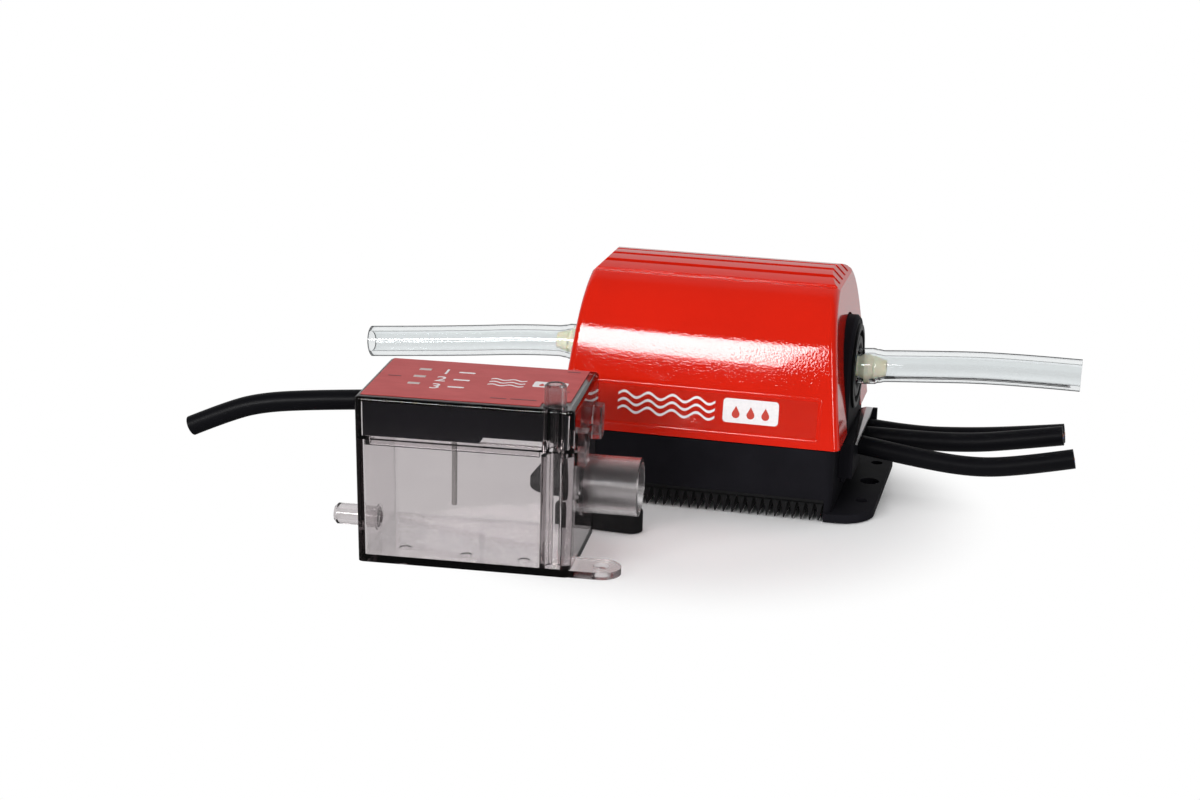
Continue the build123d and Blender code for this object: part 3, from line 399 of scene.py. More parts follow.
def circuit_board():
    """Green solder mask with copper tracks under it and tinned pads."""
    finish = Finish("circuit_board")
    x, y, _ = finish.axes(finish.place())
    pitch = 2.54 * MM
    track = ((x % pitch) < 0.9 * MM).larger((y % (2 * pitch)) < 0.8 * MM)
    pad = ((x % pitch) < 0.9 * MM) * ((y % (2 * pitch)) < 1.2 * MM)
    cloud = finish.noise(300, detail=2)
    mask = finish.colour(cloud, (0.008, 0.085, 0.03), (0.012, 0.11, 0.04))
    traced = finish.colour(track, mask, (0.025, 0.20, 0.07))
    finish.set("Base Color", finish.colour(pad, traced, (0.62, 0.62, 0.60)))
    finish.set("Metallic", pad)
    finish.set("Roughness", 0.3 + cloud * 0.1)
    finish.bump(track, 0.00003, 0.6)
    return finish.material


def enamelled_copper():
    """Varnished winding wire."""
    finish = Finish("copper_winding", Metallic=0.85, Coat_Weight=0.6, Coat_Roughness=0.2)
    stain = finish.noise(120, detail=4)
    finish.set("Base Color", finish.colour(stain.ramp(0.3, 0.7), (0.50, 0.17, 0.065),
                                           (0.66, 0.27, 0.11)))
    finish.set("Roughness", 0.26 + stain * 0.16)
    return finish.material


def natural_nylon():
    """Milky natural nylon."""
    finish = Finish("nylon", Subsurface_Weight=0.25, Subsurface_Scale=0.002)
    cloud = finish.noise(220, detail=3)
    finish.set("Base Color", finish.colour(cloud.ramp(0.3, 0.7), (0.74, 0.70, 0.52),
                                           (0.82, 0.79, 0.63)))
    finish.set("Roughness", 0.3 + cloud * 0.12)
    finish.bump(cloud, 0.00003, 0.5)
    return finish.material


def frosted_window():
    """Frosted clear lens over a status lamp."""
    finish = Finish("lens_clear", Transmission_Weight=0.35, IOR=1.49)
    frost = finish.noise(2400, detail=2)
    finish.set("Base Color", finish.colour(frost, (0.70, 0.60, 0.58), (0.78, 0.70, 0.68)))
    finish.set("Roughness", 0.35 + frost * 0.2)
    return finish.material


def core_insulation():
    """Wire insulation, blue and brown by turns."""
    finish = Finish("core_insulation")
    _, y, _ = finish.axes(finish.place())
    sheen = finish.noise(500, detail=2)
    other = ((y + 8.0 * MM) % (9.0 * MM)) < 4.5 * MM
    finish.set("Base Color", finish.colour(other, (0.02, 0.07, 0.36), (0.13, 0.05, 0.02)))
    finish.set("Roughness", 0.32 + sheen * 0.12)
    finish.bump(sheen, 0.00002)
    return finish.material


finishes = {
    "red_shell": red_shell(),
    "tray_plastic": moulded("tray_plastic", (0.0095, 0.0092, 0.0115), 0.46,
                            Specular_IOR_Level=0.015),
    "pad_rubber": moulded("pad_rubber", (0.0080, 0.0080, 0.0085), 0.56, 1500, 0.00004,
                          Specular_IOR_Level=0.15),
    "grommet_rubber": moulded("grommet_rubber", (0.0035, 0.0035, 0.0038), 0.40, 1200, 0.00003,
                              Specular_IOR_Level=0.2),
    "nylon": natural_nylon(),
    "stainless": drawn_metal("stainless", (0.55, 0.54, 0.53), 0.24),
    "magnet_steel": drawn_metal("magnet_steel", (0.42, 0.42, 0.43), 0.36, (10, 1, 10)),
    "spring_wire": drawn_metal("spring_wire", (0.50, 0.50, 0.51), 0.28),
    "bobbin_plastic": moulded("bobbin_plastic", (0.60, 0.59, 0.54), 0.45, 900, 0.00004),
    "copper_winding": enamelled_copper(),
    "circuit_board": circuit_board(),
    "chip_black": moulded("chip_black", (0.012, 0.012, 0.013), 0.5, 1800, 0.00003),
    "terminal_green": moulded("terminal_green", (0.015, 0.19, 0.06), 0.34),
    "screw_steel": drawn_metal("screw_steel", (0.62, 0.61, 0.57), 0.3, (1, 1, 8)),
    "clamp_strip": drawn_metal("clamp_strip", (0.66, 0.66, 0.67), 0.34, (12, 1, 12)),
    "cable_jacket": cable_jacket(),
    "clear_film": clear_film(),
    "clear_vinyl": clear_vinyl(),
    "smoke_plastic": smoke_plastic(),
    "potting_resin": moulded("potting_resin", (0.0065, 0.0060, 0.0085), 0.34, 420, 0.00006,
                             Specular_IOR_Level=0.1),
    "label_red": printed_sheet(),
    "lens_clear": frosted_window(),
    "core_insulation": core_insulation(),
}
white_ink = print_ink("white_ink", (0.80, 0.77, 0.78))
grey_ink = print_ink("grey_ink", (0.16, 0.05, 0.055))
red_ink = print_ink("red_ink", (0.52, 0.03, 0.012))
bare_copper = drawn_metal("bare_copper", (0.72, 0.33, 0.17), 0.32)
core_brown = moulded("core_brown", (0.11, 0.035, 0.015), 0.35)
core_blue = moulded("core_blue", (0.02, 0.07, 0.35), 0.35)


def dress_nodes():
    """Give every carried-over node the finish of its slot."""
    for row in frame["record"]["subparts"]:
        piece = bpy.data.objects[row["node"]]
        for place in piece.material_slots:
            place.material = finishes[row["material_slot"]]


# ---------------------------------------------------------------- mesh helpers
def linked(name, data):
    """A new object in the scene."""
    made = bpy.data.objects.new(name, data)
    bpy.context.collection.objects.link(made)
    return made


def piece_from(name, mesh, finish, body):
    """A finished piece at the origin that rides on a body."""
    piece = linked(name, mesh)
    if finish:
        mesh.materials.clear()
        mesh.materials.append(finish)
    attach(piece, body)
    return piece


def mesh_from(name, build, smooth_angle=35):
    """A mesh in metres from a function that fills a bmesh in millimetres."""
    shape = bmesh.new()
    build(shape)
    bmesh.ops.scale(shape, vec=(MM, MM, MM), verts=shape.verts)
    return mesh_of(name, shape, smooth_angle)


def mesh_of(name, shape, smooth_angle=None):
    """The mesh of a bmesh in metres, which is then freed."""
    bmesh.ops.recalc_face_normals(shape, faces=shape.faces)
    mesh = bpy.data.meshes.new(name)
    shape.to_mesh(mesh)
    shape.free()
    if smooth_angle:
        smooth(mesh, smooth_angle)
    return mesh


def smooth(mesh, angle):
    """Smooth shading, with a crease wherever faces meet past an angle in degrees."""
    mesh.shade_smooth()
    mesh.set_sharp_from_angle(angle=radians(angle))


def plain_mesh(carrier):
    """The evaluated mesh of a carrier object, which is then removed."""
    bpy.context.view_layer.update()
    view = bpy.context.evaluated_depsgraph_get()
    mesh = bpy.data.meshes.new_from_object(carrier.evaluated_get(view))
    data = carrier.data
    bpy.data.objects.remove(carrier)
    if isinstance(data, bpy.types.Curve):
        bpy.data.curves.remove(data)
    else:
        bpy.data.meshes.remove(data)
    return mesh


def prism(shape, outline, low, high):
    """Extrude an X-Y outline between two heights."""
    bottom = [shape.verts.new((x, y, low)) for x, y in outline]
    top = [shape.verts.new((x, y, high)) for x, y in outline]
    shape.faces.new(reversed(bottom))
    shape.faces.new(top)
    for index, corner in enumerate(bottom):
        after = (index + 1) % len(bottom)
        shape.faces.new((corner, bottom[after], top[after], top[index]))


def rounded_outline(x0, x1, y0, y1, radius, steps=8):
    """Corner points of a rectangle with round corners."""
    corners = ((x1 - radius, y1 - radius, 0), (x0 + radius, y1 - radius, 90),
               (x0 + radius, y0 + radius, 180), (x1 - radius, y0 + radius, 270))
    outline = []
    for x, y, start in corners:
        for step in range(steps + 1):
            angle = radians(start + 90 * step / steps)
            outline.append((x + radius * cos(angle), y + radius * sin(angle)))
    return outline


def drop_outline(x, y, radius, steps=24):
    """A water drop with its point up."""
    outline = [(x, y + 2.1 * radius)]
    for step in range(steps + 1):
        angle = radians(150 + 240 * step / steps)
        outline.append((x + radius * cos(angle), y + radius * sin(angle)))
    return outline


# ---------------------------------------------------------------- geometry node trees
def tree_with(name, inputs):
    """An empty geometry tree with named inputs; returns the tree and its two end nodes."""
    tree = bpy.data.node_groups.new(name, "GeometryNodeTree")
    tree.interface.new_socket("Geometry", in_out="INPUT", socket_type="NodeSocketGeometry")
    for label, kind in inputs:
        tree.interface.new_socket(label, in_out="INPUT", socket_type="NodeSocket" + kind)
    tree.interface.new_socket("Geometry", in_out="OUTPUT", socket_type="NodeSocketGeometry")
    return tree, tree.nodes.new("NodeGroupInput"), tree.nodes.new("NodeGroupOutput")


def join_all(tree, *links):
    """Links, each as a node and its output, then a node and its input."""
    for source, output, target, socket in links:
        tree.links.new(source.outputs[output], target.inputs[socket])


def row_tree():
    """Repeats the carrier's own mesh in a straight row."""
    tree, start, end = tree_with("repeat_in_row", [("Count", "Int"), ("Step", "Vector"),
                                                   ("Finish", "Material")])
    line = tree.nodes.new("GeometryNodeMeshLine")
    line.mode = "OFFSET"
    copies = tree.nodes.new("GeometryNodeInstanceOnPoints")
    real = tree.nodes.new("GeometryNodeRealizeInstances")
    finish = tree.nodes.new("GeometryNodeSetMaterial")
    join_all(tree, (start, "Count", line, "Count"), (start, "Step", line, "Offset"),
             (line, "Mesh", copies, "Points"), (start, "Geometry", copies, "Instance"),
             (copies, "Instances", real, "Geometry"), (real, "Geometry", finish, "Geometry"),
             (start, "Finish", finish, "Material"), (finish, "Geometry", end, "Geometry"))
    return tree


def winding_tree():
    """One layer of wire wound round the X axis."""
    tree, start, end = tree_with("wound_layer", [("Turns", "Float"), ("Radius", "Float"),
                                                 ("Length", "Float"), ("Wire", "Float"),
                                                 ("Steps", "Int"), ("Finish", "Material")])
    spiral = tree.nodes.new("GeometryNodeCurveSpiral")
    section = tree.nodes.new("GeometryNodeCurvePrimitiveCircle")
    section.inputs["Resolution"].default_value = 8
    wire = tree.nodes.new("GeometryNodeCurveToMesh")
    wire.inputs["Fill Caps"].default_value = True
    turn = tree.nodes.new("GeometryNodeTransform")
    turn.inputs["Rotation"].default_value = (0, pi / 2, 0)
    real = tree.nodes.new("GeometryNodeRealizeInstances")
    finish = tree.nodes.new("GeometryNodeSetMaterial")
    join_all(tree, (start, "Turns", spiral, "Rotations"),
             (start, "Radius", spiral, "Start Radius"), (start, "Radius", spiral, "End Radius"),
             (start, "Length", spiral, "Height"), (start, "Steps", spiral, "Resolution"),
             (start, "Wire", section, "Radius"), (spiral, "Curve", wire, "Curve"),
             (section, "Curve", wire, "Profile Curve"), (wire, "Mesh", turn, "Geometry"),
             (turn, "Geometry", real, "Geometry"), (real, "Geometry", finish, "Geometry"),
             (start, "Finish", finish, "Material"), (finish, "Geometry", end, "Geometry"))
    return tree


def grown(name, mesh, tree, **inputs):
    """The plain mesh that a tree makes from a carrier mesh with these named inputs."""
    carrier = linked(name, mesh)
    grow = carrier.modifiers.new("grow", "NODES")
    grow.node_group = tree
    for item in tree.interface.items_tree:
        if item.in_out == "INPUT" and item.name in inputs:
            grow[item.identifier] = inputs[item.name]
    return plain_mesh(carrier)


# ---------------------------------------------------------------- hoses and cables
def route_curve(name, points):
    """The cord's own line: one smooth spline with the route's points as control points."""
    curve = bpy.data.curves.new(name, "CURVE")
    curve.dimensions = "3D"
    line = curve.splines.new("NURBS")
    line.points.add(len(points) - 1)
    for knot, (x, y, z) in zip(line.points, points):
        knot.co = (x * MM, y * MM, z * MM, 1)
    line.order_u = 3
    line.use_endpoint_u = True
    line.resolution_u = 24
    curve.resolution_u = 24
    return curve


def line_points(name, points):
    """Points along the route's spline, in metres."""
    mesh = plain_mesh(linked(name, route_curve(name, points)))
    places = [vertex.co.copy() for vertex in mesh.vertices]
    bpy.data.meshes.remove(mesh)
    return places


def frames_along(places):
    """A place, sideways and upward direction at each point of a smooth line."""
    frames = []
    for index, place in enumerate(places):
        before = places[max(index - 1, 0)]
        after = places[min(index + 1, len(places) - 1)]
        along = (after - before).normalized()
        side = along.cross(Vector((0, 0, 1))).normalized()
        frames.append((place, side, side.cross(along).normalized()))
    return frames


def ring_at(shape, centre, side, up, radius, count):
    """One ring of vertices round a point, all in metres."""
    angles = [2 * pi * step / count for step in range(count)]
    return [shape.verts.new(centre + side * (radius * cos(a)) + up * (radius * sin(a)))
            for a in angles]


def bridge(shape, first, second):
    """Faces between two rings of the same count."""
    count = len(first)
    for index in range(count):
        after = (index + 1) % count
        shape.faces.new((first[index], first[after], second[after], second[index]))


def barb_radius(x):
    """Radius of the hose barb at a distance from the pump's middle, in millimetres."""
    for (x0, r0), (x1, r1) in zip(barb_profile, barb_profile[1:]):
        if x0 <= x <= x1:
            return r0 + (r1 - r0) * (x - x0) / (x1 - x0)
    return 0.0


def soft_barb_radius(x):
    """The barb's radius as a hose takes it up: the largest within its own stiffness."""
    spread = 1.6
    return max(barb_radius(x + spread * step / 6) for step in range(-6, 7))


def hose(name, node, points):
    """Clear hose with its bore, stretched over the barb at its pump end."""
    places = line_points(name + "_line", points)
    near_barb, ring_step = (barb_end + 6) * MM, 0.5 * MM
    steps = []
    for before, after in zip(places, places[1:]):
        near = abs(before.x) < near_barb
        parts = max(1, int((after - before).length / ring_step)) if near else 1
        steps += [before.lerp(after, part / parts) for part in range(parts)]
    steps.append(places[-1])
    shape = bmesh.new()
    outside, inside = [], []
    count = 96
    for place, side, up in frames_along(steps):
        held = soft_barb_radius(abs(place.x) / MM)
        bore = max(hose_bore_r, held + hose_play)
        wall = (hose_r - hose_bore_r) * hose_r / (hose_r + wall_loss * (bore - hose_bore_r))
        outside.append(ring_at(shape, place, side, up, (bore + wall) * MM, count))
        inside.append(ring_at(shape, place, side, up, bore * MM, count))
    for rings in (outside, inside):
        for before, after in zip(rings, rings[1:]):
            bridge(shape, before, after)
    bridge(shape, outside[0], inside[0])
    bridge(shape, outside[-1], inside[-1])
    piece = piece_from(name, mesh_of(name, shape, 40), finishes["clear_vinyl"], "base")
    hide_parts(node)
    return piece


def cable(name, node, points, radius, exit_point, body, cores):
    """Round cable with a cut end that shows its cores."""
    places = line_points(name + "_line", points)
    frames = frames_along(places)
    shape = bmesh.new()
    count = 40
    rings = [ring_at(shape, place, side, up, radius * MM, count) for place, side, up in frames]
    for before, after in zip(rings, rings[1:]):
        bridge(shape, before, after)
    shape.faces.new(rings[0])
    end_place, side, up = frames[-1]
    along = (places[-1] - places[-2]).normalized()
    lip_inset, well_inset, well_depth = 0.15, 0.75, 0.25
    lip = ring_at(shape, end_place, side, up, (radius - lip_inset) * MM, count)
    well = ring_at(shape, end_place - along * (well_depth * MM), side, up,
                   (radius - well_inset) * MM, count)
    bridge(shape, rings[-1], lip)
    bridge(shape, lip, well)
    shape.faces.new(well)
    piece = piece_from(name, mesh_of(name, shape, 40), finishes["cable_jacket"], body)
    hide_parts(node)
    ends = cut_cores(name + "_cores", end_place, along, side, up, cores, body)
    return piece


def cut_cores(name, place, along, side, up, cores, body):
    """The insulated cores that show in a cable's cut end, each with its copper."""
    shape = bmesh.new()
    core_r, copper_r, circle_r = 0.78, 0.4, 0.98
    rear_depth, copper_reach = 1.2, 0.12
    start = place - along * (rear_depth * MM)
    colours = {"brown": 0, "blue": 1}
    for index, colour in enumerate(cores):
        angle = 2 * pi * index / len(cores) + 0.4
        offset = (side * cos(angle) + up * sin(angle)) * (circle_r * MM)
        for radius, reach, face_index in ((core_r, 0.0, colours[colour]),
                                          (copper_r, copper_reach, 2)):
            rear = ring_at(shape, start + offset, side, up, radius * MM, 20)
            front = ring_at(shape, place + offset + along * (reach * MM), side, up,
                            radius * MM, 20)
            known = set(shape.faces)
            bridge(shape, rear, front)
            shape.faces.new(front)
            shape.faces.new(rear)
            for face in shape.faces:
                if face not in known:
                    face.material_index = face_index
    mesh = mesh_of(name, shape, 40)
    for finish in (core_brown, core_blue, bare_copper):
        mesh.materials.append(finish)
    return piece_from(name, mesh, None, body)


# ---------------------------------------------------------------- fine pieces
def ribbed_pad():
    """The isolation pad: a plate with a row of V ribs."""
    half = rib_count * rib_pitch / 2
    tip, round_tip = 0.22, 0.12

    def one_rib(shape):
        flank = ((0.0, rib_depth + 0.3), (0.42, rib_depth - 0.5), (0.78, rib_depth * 0.5),
                 (rib_pitch / 2 - tip, 0.25), (rib_pitch / 2 - round_tip, 0.06),
                 (rib_pitch / 2, 0.0))
        outline = list(flank) + [(rib_pitch - x, z) for x, z in reversed(flank[:-1])]
        ends = []
        for y in (-pad_half_width, pad_half_width):
            ends.append([shape.verts.new((x - half, y, z)) for x, z in outline])
        for first, second in zip(range(len(outline)), range(1, len(outline))):
            shape.faces.new((ends[0][first], ends[0][second], ends[1][second], ends[1][first]))
        shape.faces.new((ends[0][-1], ends[0][0], ends[1][0], ends[1][-1]))
        shape.faces.new(ends[0])
        shape.faces.new(list(reversed(ends[1])))

    ribs = grown("pad_ribs", mesh_from("one_rib", one_rib, 30), row_tree(), Count=rib_count,
                 Step=(rib_pitch * MM, 0, 0), Finish=finishes["pad_rubber"])

    def plate(shape):
        outline = [(-half, -pad_half_width), (half, -pad_half_width), (half, pad_half_width),
                   (-half, pad_half_width)]
        prism(shape, outline, rib_depth, pad_top)

    base = mesh_from("pad_plate", plate)
    joined = bmesh.new()
    joined.from_mesh(ribs)
    joined.from_mesh(base)
    mesh = bpy.data.meshes.new("ribbed_pad")
    joined.to_mesh(mesh)
    joined.free()
    smooth(mesh, 32)
    piece = piece_from("ribbed_pad", mesh, finishes["pad_rubber"], "base")
    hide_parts("rib_pad")


def winding_turns():
    """The outer layer of the coil's wire, and a copper solid under it for the layers within."""
    turns = int(2 * winding_half / (2 * wire_r))
    empty = bpy.data.meshes.new("winding_carrier")
    mesh = grown("winding_turns", empty, winding_tree(), Turns=float(turns),
                 Radius=(winding_r - wire_r) * MM, Length=2 * (winding_half - wire_r) * MM,
                 Wire=wire_r * MM, Steps=40, Finish=finishes["copper_winding"])
    middle = Matrix.Translation((-(winding_half - wire_r) * MM, 0, axis_z * MM))
    mesh.transform(middle)
    smooth(mesh, 50)
    winding = piece_from("winding_turns", mesh, finishes["copper_winding"], "base")

    def spool(shape):
        count = 48
        inner, outer = 8.9, winding_r - 1.5 * wire_r
        rings = []
        for x, radius in ((-winding_half, inner), (-winding_half, outer), (winding_half, outer),
                          (winding_half, inner)):
            rings.append([shape.verts.new((x, radius * cos(2 * pi * step / count),
                                           axis_z + radius * sin(2 * pi * step / count)))
                          for step in range(count)])
        for before, after in zip(rings, rings[1:] + rings[:1]):
            bridge(shape, before, after)

    layers = piece_from("winding_layers", mesh_from("winding_layers", spool),
                        finishes["copper_winding"], "base")
    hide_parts("coil_winding")
    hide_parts("coil_winding")


def on_film(point):
    """A point of the film's own plane, X and height, on the leaning front of the cover."""
    x, z, out = point
    lean = film_lean
    length = (1 + lean ** 2) ** 0.5
    y = film_y0 + lean * (z - film_z0)
    return Vector((x, y - out / length, z + out * lean / length)) * MM


def film_piece(name, outlines, finish, low, high):
    """Thin printed shapes on the film, from X-height outlines."""
    shape = bmesh.new()
    for outline in outlines:
        prism(shape, outline, low, high)
    for vertex in shape.verts:
        vertex.co = on_film(vertex.co)
    return piece_from(name, mesh_of(name, shape), finish, "cover")


def film_rim():
    """The low moulded rim round the film's place on the cover."""
    shape = bmesh.new()
    rings = []
    parts = 8
    for step in range(parts + 1):
        inset = rim_width * step / parts
        out = rim_rise * sin(pi * step / parts) - rim_rise
        outline = rounded_outline(-rim_half + inset, rim_half - inset, rim_z0 + inset,
                                  rim_z1 - inset, 1.5 - inset)
        rings.append([shape.verts.new(on_film((x, z, out))) for x, z in outline])
    for before, after in zip(rings, rings[1:] + rings[:1]):
        bridge(shape, before, after)
    piece_from("film_rim", mesh_of("film_rim", shape, 60), finishes["red_shell"], "cover")


def clamp_strip():
    """The bright strip over the cable clamp: a long wedge with a turned-down rear edge."""
    low, high, turned = 20.02, 20.9, 20.45
    outer = ((45.6, -20.6), (45.6, 16.6))
    crease = ((45.25, -20.8), (43.5, 16.8))
    inner = ((44.95, -20.6), (41.95, 16.6))
    steps = 24

    def build(shape):
        columns = []
        for step in range(steps + 1):
            share = step / steps
            section = []
            for (first, last), top in ((outer, high), (crease, high), (inner, turned)):
                x = first[0] + (last[0] - first[0]) * share
                y = first[1] + (last[1] - first[1]) * share
                section.append((x, y, top))
            edge_x, edge_y, _ = section[0]
            section.insert(0, (edge_x, edge_y, low))
            section.append((section[-1][0], section[-1][1], low))
            columns.append([shape.verts.new(point) for point in section])
        for before, after in zip(columns, columns[1:]):
            for index in range(len(before)):
                following = (index + 1) % len(before)
                shape.faces.new((before[index], before[following], after[following],
                                 after[index]))
        shape.faces.new(columns[0])
        shape.faces.new(list(reversed(columns[-1])))

    piece = piece_from("clamp_strip", mesh_from("clamp_strip", build, 12),
                       finishes["clamp_strip"], "base")
    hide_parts("clamp_plate")


def wave_band(x0, x1, z, thick, rise, waves, steps=60):
    """A wavy stripe as an outline."""
    upper, lower = [], []
    for step in range(steps + 1):
        share = step / steps
        x = x0 + (x1 - x0) * share
        middle = z + rise * sin(2 * pi * waves * share)
        upper.append((x, middle + thick / 2))
        lower.append((x, middle - thick / 2))
    return lower + list(reversed(upper))


def cover_prints():
    """Generic print on the film: three waves and a tile with a row of drops."""
    waves = [wave_band(-23.9, 5.0, z, 0.75, 0.85, 4) for z in (28.3, 30.5, 32.7)]
    film_piece("cover_waves", waves, white_ink, 0.0, print_thick)
    tile = rounded_outline(7.4, 23.7, 27.2, 34.2, 1.1)
    film_piece("cover_tile", [tile], white_ink, 0.0, print_thick)
    drops = [drop_outline(x, 29.7, 1.15) for x in (11.2, 15.55, 19.9)]
    film_piece("cover_drops", drops, red_ink, print_thick, 2 * print_thick)


def lid_piece(name, shape, finish):
    """A printed piece on the lid's sheet, from a bmesh in the reservoir's frame."""
    for vertex in shape.verts:
        vertex.co = Vector(in_pump_frame(vertex.co)) * MM
    return piece_from(name, mesh_of(name, shape), finish, "lid")


def digit_mesh(text, size):
    """A number as a flat mesh standing a hair high, in millimetres."""
    letters = bpy.data.curves.new("digit", "FONT")
    letters.body = text
    letters.size = size
    letters.extrude = print_thick / 2
    letters.align_y = "CENTER"
    return plain_mesh(linked("digit", letters))


def lid_prints():
    """Numbers beside the windows, a generic motif and small dark marks."""
    print_top = label_top + print_thick
    numbers = bmesh.new()
    for index, y in enumerate((8.6, 1.2, -5.9)):
        digit = digit_mesh(str(index + 1), 6.6)
        digit.transform(Matrix.Translation((-12.6, y - 0.4, label_top + print_thick / 2)))
        numbers.from_mesh(digit)
        bpy.data.meshes.remove(digit)
        prism(numbers, rounded_outline(-7.6, -3.0, y - 0.5, y + 0.5, 0.45), label_top,
              print_top)
    lid_piece("lid_numbers", numbers, white_ink)

    motif = bmesh.new()
    for y in (-1.0, 1.7, 4.4):
        prism(motif, wave_band(2.4, 12.4, y, 0.75, 0.6, 2), label_top, print_top)
    prism(motif, rounded_outline(14.6, 24.0, -0.4, 4.9, 0.7), label_top, print_top)
    lid_piece("lid_motif", motif, white_ink)

    drops = bmesh.new()
    for x in (17.0, 19.4, 21.8):
        prism(drops, drop_outline(x, 1.4, 0.75), print_top, label_top + 2 * print_thick)
    lid_piece("lid_drops", drops, red_ink)

    marks = bmesh.new()
    for x0, x1, y in ((-26.0, -22.3, 1.4), (21.5, 25.2, 16.4), (5.8, 10.2, -13.4),
                      (11.2, 18.4, -13.2), (23.9, 25.6, -3.2)):
        prism(marks, rounded_outline(x0, x1, y - 0.28, y + 0.28, 0.25), label_top, print_top)
    lid_piece("lid_marks", marks, grey_ink)


def moving_spring(name, node, body, fixed, seat):
    """A copy of a spring's mesh in place of its node, at rest: it does not shorten and rides on
    no body.
    """
    piece = linked(name, bpy.data.objects[node].data.copy())
    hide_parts(node)
    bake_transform(piece)


def without_left_clips(name, node, body):
    """A clear moulding of the reservoir whose left clip blocks are pressed into the wall."""
    mesh = bpy.data.objects[node].data.copy()
    mesh.name = name
    normals = [corner.vector.copy() for corner in mesh.corner_normals]
    on_wall = set()
    low, high = clip_z
    for vertex in mesh.vertices:
        x, y, z = in_tank_frame(vertex.co / MM)
        beyond = -tank_length / 2 + (tank_top - z) * tank_draft - x
        from_clip = min(abs(y - middle) for middle in clip_y)
        if beyond > -wall_slack and low < z < high and from_clip < clip_half:
            on_wall.add(vertex.index)
            if beyond > wall_slack:
                point = in_pump_frame((x + beyond * clip_press, y, z))
                vertex.co = Vector(point) * MM
    outward = Vector(in_pump_frame((-1, 0, 0))) - Vector(in_pump_frame((0, 0, 0)))
    for face in mesh.polygons:
        if on_wall.issuperset(face.vertices):
            facing = outward if face.normal.dot(outward) > 0 else -outward
            for loop in face.loop_indices:
                normals[loop] = facing
    mesh.normals_split_custom_set(normals)
    piece = piece_from(name, mesh, finishes["smoke_plastic"], body)
    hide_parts(node)


# ---------------------------------------------------------------- floor, light and camera
def floor():
    """Pale floor that keeps the shadow near the part and turns white further out."""
    finish = Finish("floor_pale", Roughness=0.7, Specular_IOR_Level=0.1)
    x, y, _ = finish.axes(finish.place((0.0, -0.03, 0)))
    away = (x * x + y * y).ramp(0.045 ** 2, 0.09 ** 2)
    grain = finish.noise(30, detail=2)
    finish.set("Base Color", finish.colour(grain, (0.90, 0.90, 0.905), (0.92, 0.92, 0.925)))
    camera_ray, glossy_ray, clear_ray = finish.outputs(
        finish.node("ShaderNodeLightPath"), "Is Camera Ray", "Is Glossy Ray",
        "Is Transmission Ray")
    mirror_ray = glossy_ray * (1 - clear_ray)
    white = finish.node("ShaderNodeEmission", None, {"Color": (1, 1, 1, 1), "Strength": 1.0})
    dark = finish.node("ShaderNodeEmission", None, {"Color": (1, 1, 1, 1), "Strength": 0.10})
    # Painted light and shade by ray: seen through clear parts, the floor behind and under the
    # reservoir glows white in place of its shade; seen in gloss it shows a dim glow, a painted
    # dark reflection, fully so in front
    shown = (camera_ray.larger(mirror_ray * y.ramp(0.0, 0.25)) * away).larger(
        clear_ray * y.ramp(-0.20, -0.12) * 0.85)
    hidden = (mirror_ray * (1 - y.ramp(-0.05, 0.02) * 0.53)
              + clear_ray * (1 - y.ramp(-0.20, -0.12)))
    surface = Value(finish, finish.shader.outputs[0])
    for share, other in ((shown, white), (hidden, dark)):
        surface = finish.node("ShaderNodeMixShader", None, {0: share, 1: surface, 2: other})
    finish.cover(surface)

    def sheet(shape):
        bmesh.ops.create_grid(shape, x_segments=2, y_segments=2, size=6000)
        for vertex in shape.verts:
            vertex.co.z = -0.3

    mesh = mesh_from("floor", sheet)
    mesh.materials.append(finish.material)
    plane = linked("floor", mesh)


def surroundings():
    """White where it is seen, softer where it lights, darker in front in gloss and glass."""
    world = bpy.data.worlds.new("studio")
    bpy.context.scene.world = world
    world.use_nodes = True
    tree = world.node_tree
    nodes, join = tree.nodes, tree.links.new
    fill = nodes["Background"]
    fill.inputs["Color"].default_value = (1, 1, 1, 1)
    fill.inputs["Strength"].default_value = 0.46
    surface = fill.outputs[0]
    direction = nodes.new("ShaderNodeTexCoord")
    split = nodes.new("ShaderNodeSeparateXYZ")
    join(direction.outputs["Generated"], split.inputs[0])
    rays = nodes.new("ShaderNodeLightPath")
    for ray, front, back, least, most in (("Is Glossy Ray", 0.10, 0.75, 0.05, 0.60),
                                          ("Is Transmission Ray", -0.05, 0.35, 0.05, 1.0),
                                          ("Is Camera Ray", -1.0, 1.0, 1.0, 1.0)):
        behind = nodes.new("ShaderNodeMapRange")
        for socket, value in (("From Min", front), ("From Max", back),
                              ("To Min", least), ("To Max", most)):
            behind.inputs[socket].default_value = value
        join(split.outputs["Y"], behind.inputs["Value"])
        light = nodes.new("ShaderNodeBackground")
        light.inputs["Color"].default_value = (1, 1, 1, 1)
        join(behind.outputs[0], light.inputs["Strength"])
        mix = nodes.new("ShaderNodeMixShader")
        join(rays.outputs[ray], mix.inputs[0])
        join(surface, mix.inputs[1])
        join(light.outputs[0], mix.inputs[2])
        surface = mix.outputs[0]
    join(surface, nodes["World Output"].inputs["Surface"])


def softbox(name, place, aim, width, height, power):
    """A rectangular lamp that faces a point, in metres."""
    lamp = bpy.data.lights.new(name, "AREA")
    lamp.shape = "RECTANGLE"
    lamp.size = width
    lamp.size_y = height
    lamp.energy = power
    holder = linked(name, lamp)
    holder.location = place
    holder.rotation_euler = (Vector(aim) - Vector(place)).to_track_quat("-Z", "Y").to_euler()
    return holder


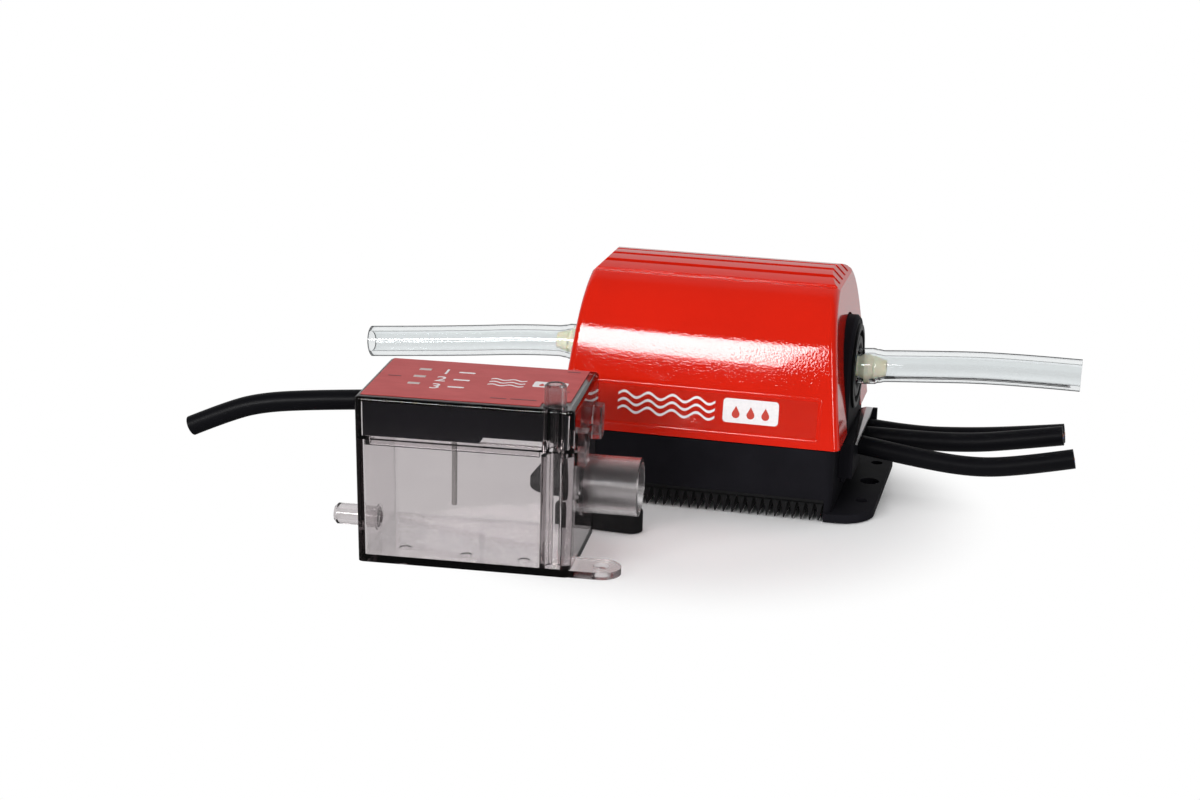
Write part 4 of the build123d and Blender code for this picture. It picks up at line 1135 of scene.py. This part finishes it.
def lamps():
    """A wide lamp in front, a strip at the right and a soft one above."""
    softbox("front_softbox", (-0.518, -1.088, 0.50), (-0.03, 0, 0.04), 0.81, 0.24, 10.2)
    softbox("right_strip", (0.75, -0.90, 0.32), (0.03, 0, 0.04), 0.16, 0.50, 2.4)
    top = softbox("top_softbox", (0.0, 0.1, 1.3), (0, 0, 0), 1.4, 1.0, 3.6)
    top.visible_glossy = False


def camera():
    """Camera at a fixed viewing angle with a 36 mm sensor; the 1200 by 800 frame it is meant
    for is not set here.
    """
    forward = Vector((-0.2205, 0.9329, -0.2847)).normalized()
    level_right = Vector((0.9732, 0.2300, 0.0)).normalized()
    level_up = level_right.cross(forward)
    roll = 0.0252
    right = level_right * cos(roll) + level_up * sin(roll)
    up = level_up * cos(roll) - level_right * sin(roll)
    lens = bpy.data.cameras.new("camera")
    lens.lens = 66.45
    lens.sensor_width = 36.0
    lens.sensor_fit = "HORIZONTAL"
    lens.clip_start = 0.01
    lens.clip_end = 50
    holder = linked("camera", lens)
    place = Matrix.Translation((0.11419, -0.63980, 0.21546))
    turn = Matrix((right, up, -forward)).transposed().to_4x4()
    holder.matrix_world = place @ turn
    bpy.context.scene.camera = holder


# ---------------------------------------------------------------- assembly
dress_nodes()
camera()
floor()
surroundings()
lamps()
hose("inlet_hose", "inlet_tube", inlet_route)
hose("outlet_hose", "outlet_tube", outlet_route)
cable("supply_lead", "supply_cable", supply_route, cable_r, (0.0432, -0.006, 0.0159),
      "base", ("brown", "blue"))
cable("alarm_lead", "alarm_cable", alarm_route, cable_r, (0.0432, 0.003, 0.0159),
      "base", ("brown", "blue"))
cable("signal_lead", "signal_cable", signal_route, cable_r, (0.0432, 0.012, 0.0159),
      "base", ("brown", "blue"))
sensor_points = [in_pump_frame(point) for point in sensor_route]
cable("sensor_lead", "sensor_cable", sensor_points, sensor_cable_r,
      [value * MM for value in sensor_points[0]], "lid", ("brown", "blue"))
ribbed_pad()
winding_turns()
clamp_strip()
film_rim()
cover_prints()
lid_prints()
for spring in springs:
    moving_spring(*spring)
without_left_clips("clear_tank", "tank", "base")
without_left_clips("clear_lid", "tank_lid", "lid")

view = bpy.context.scene.view_settings
view.view_transform = "Standard"
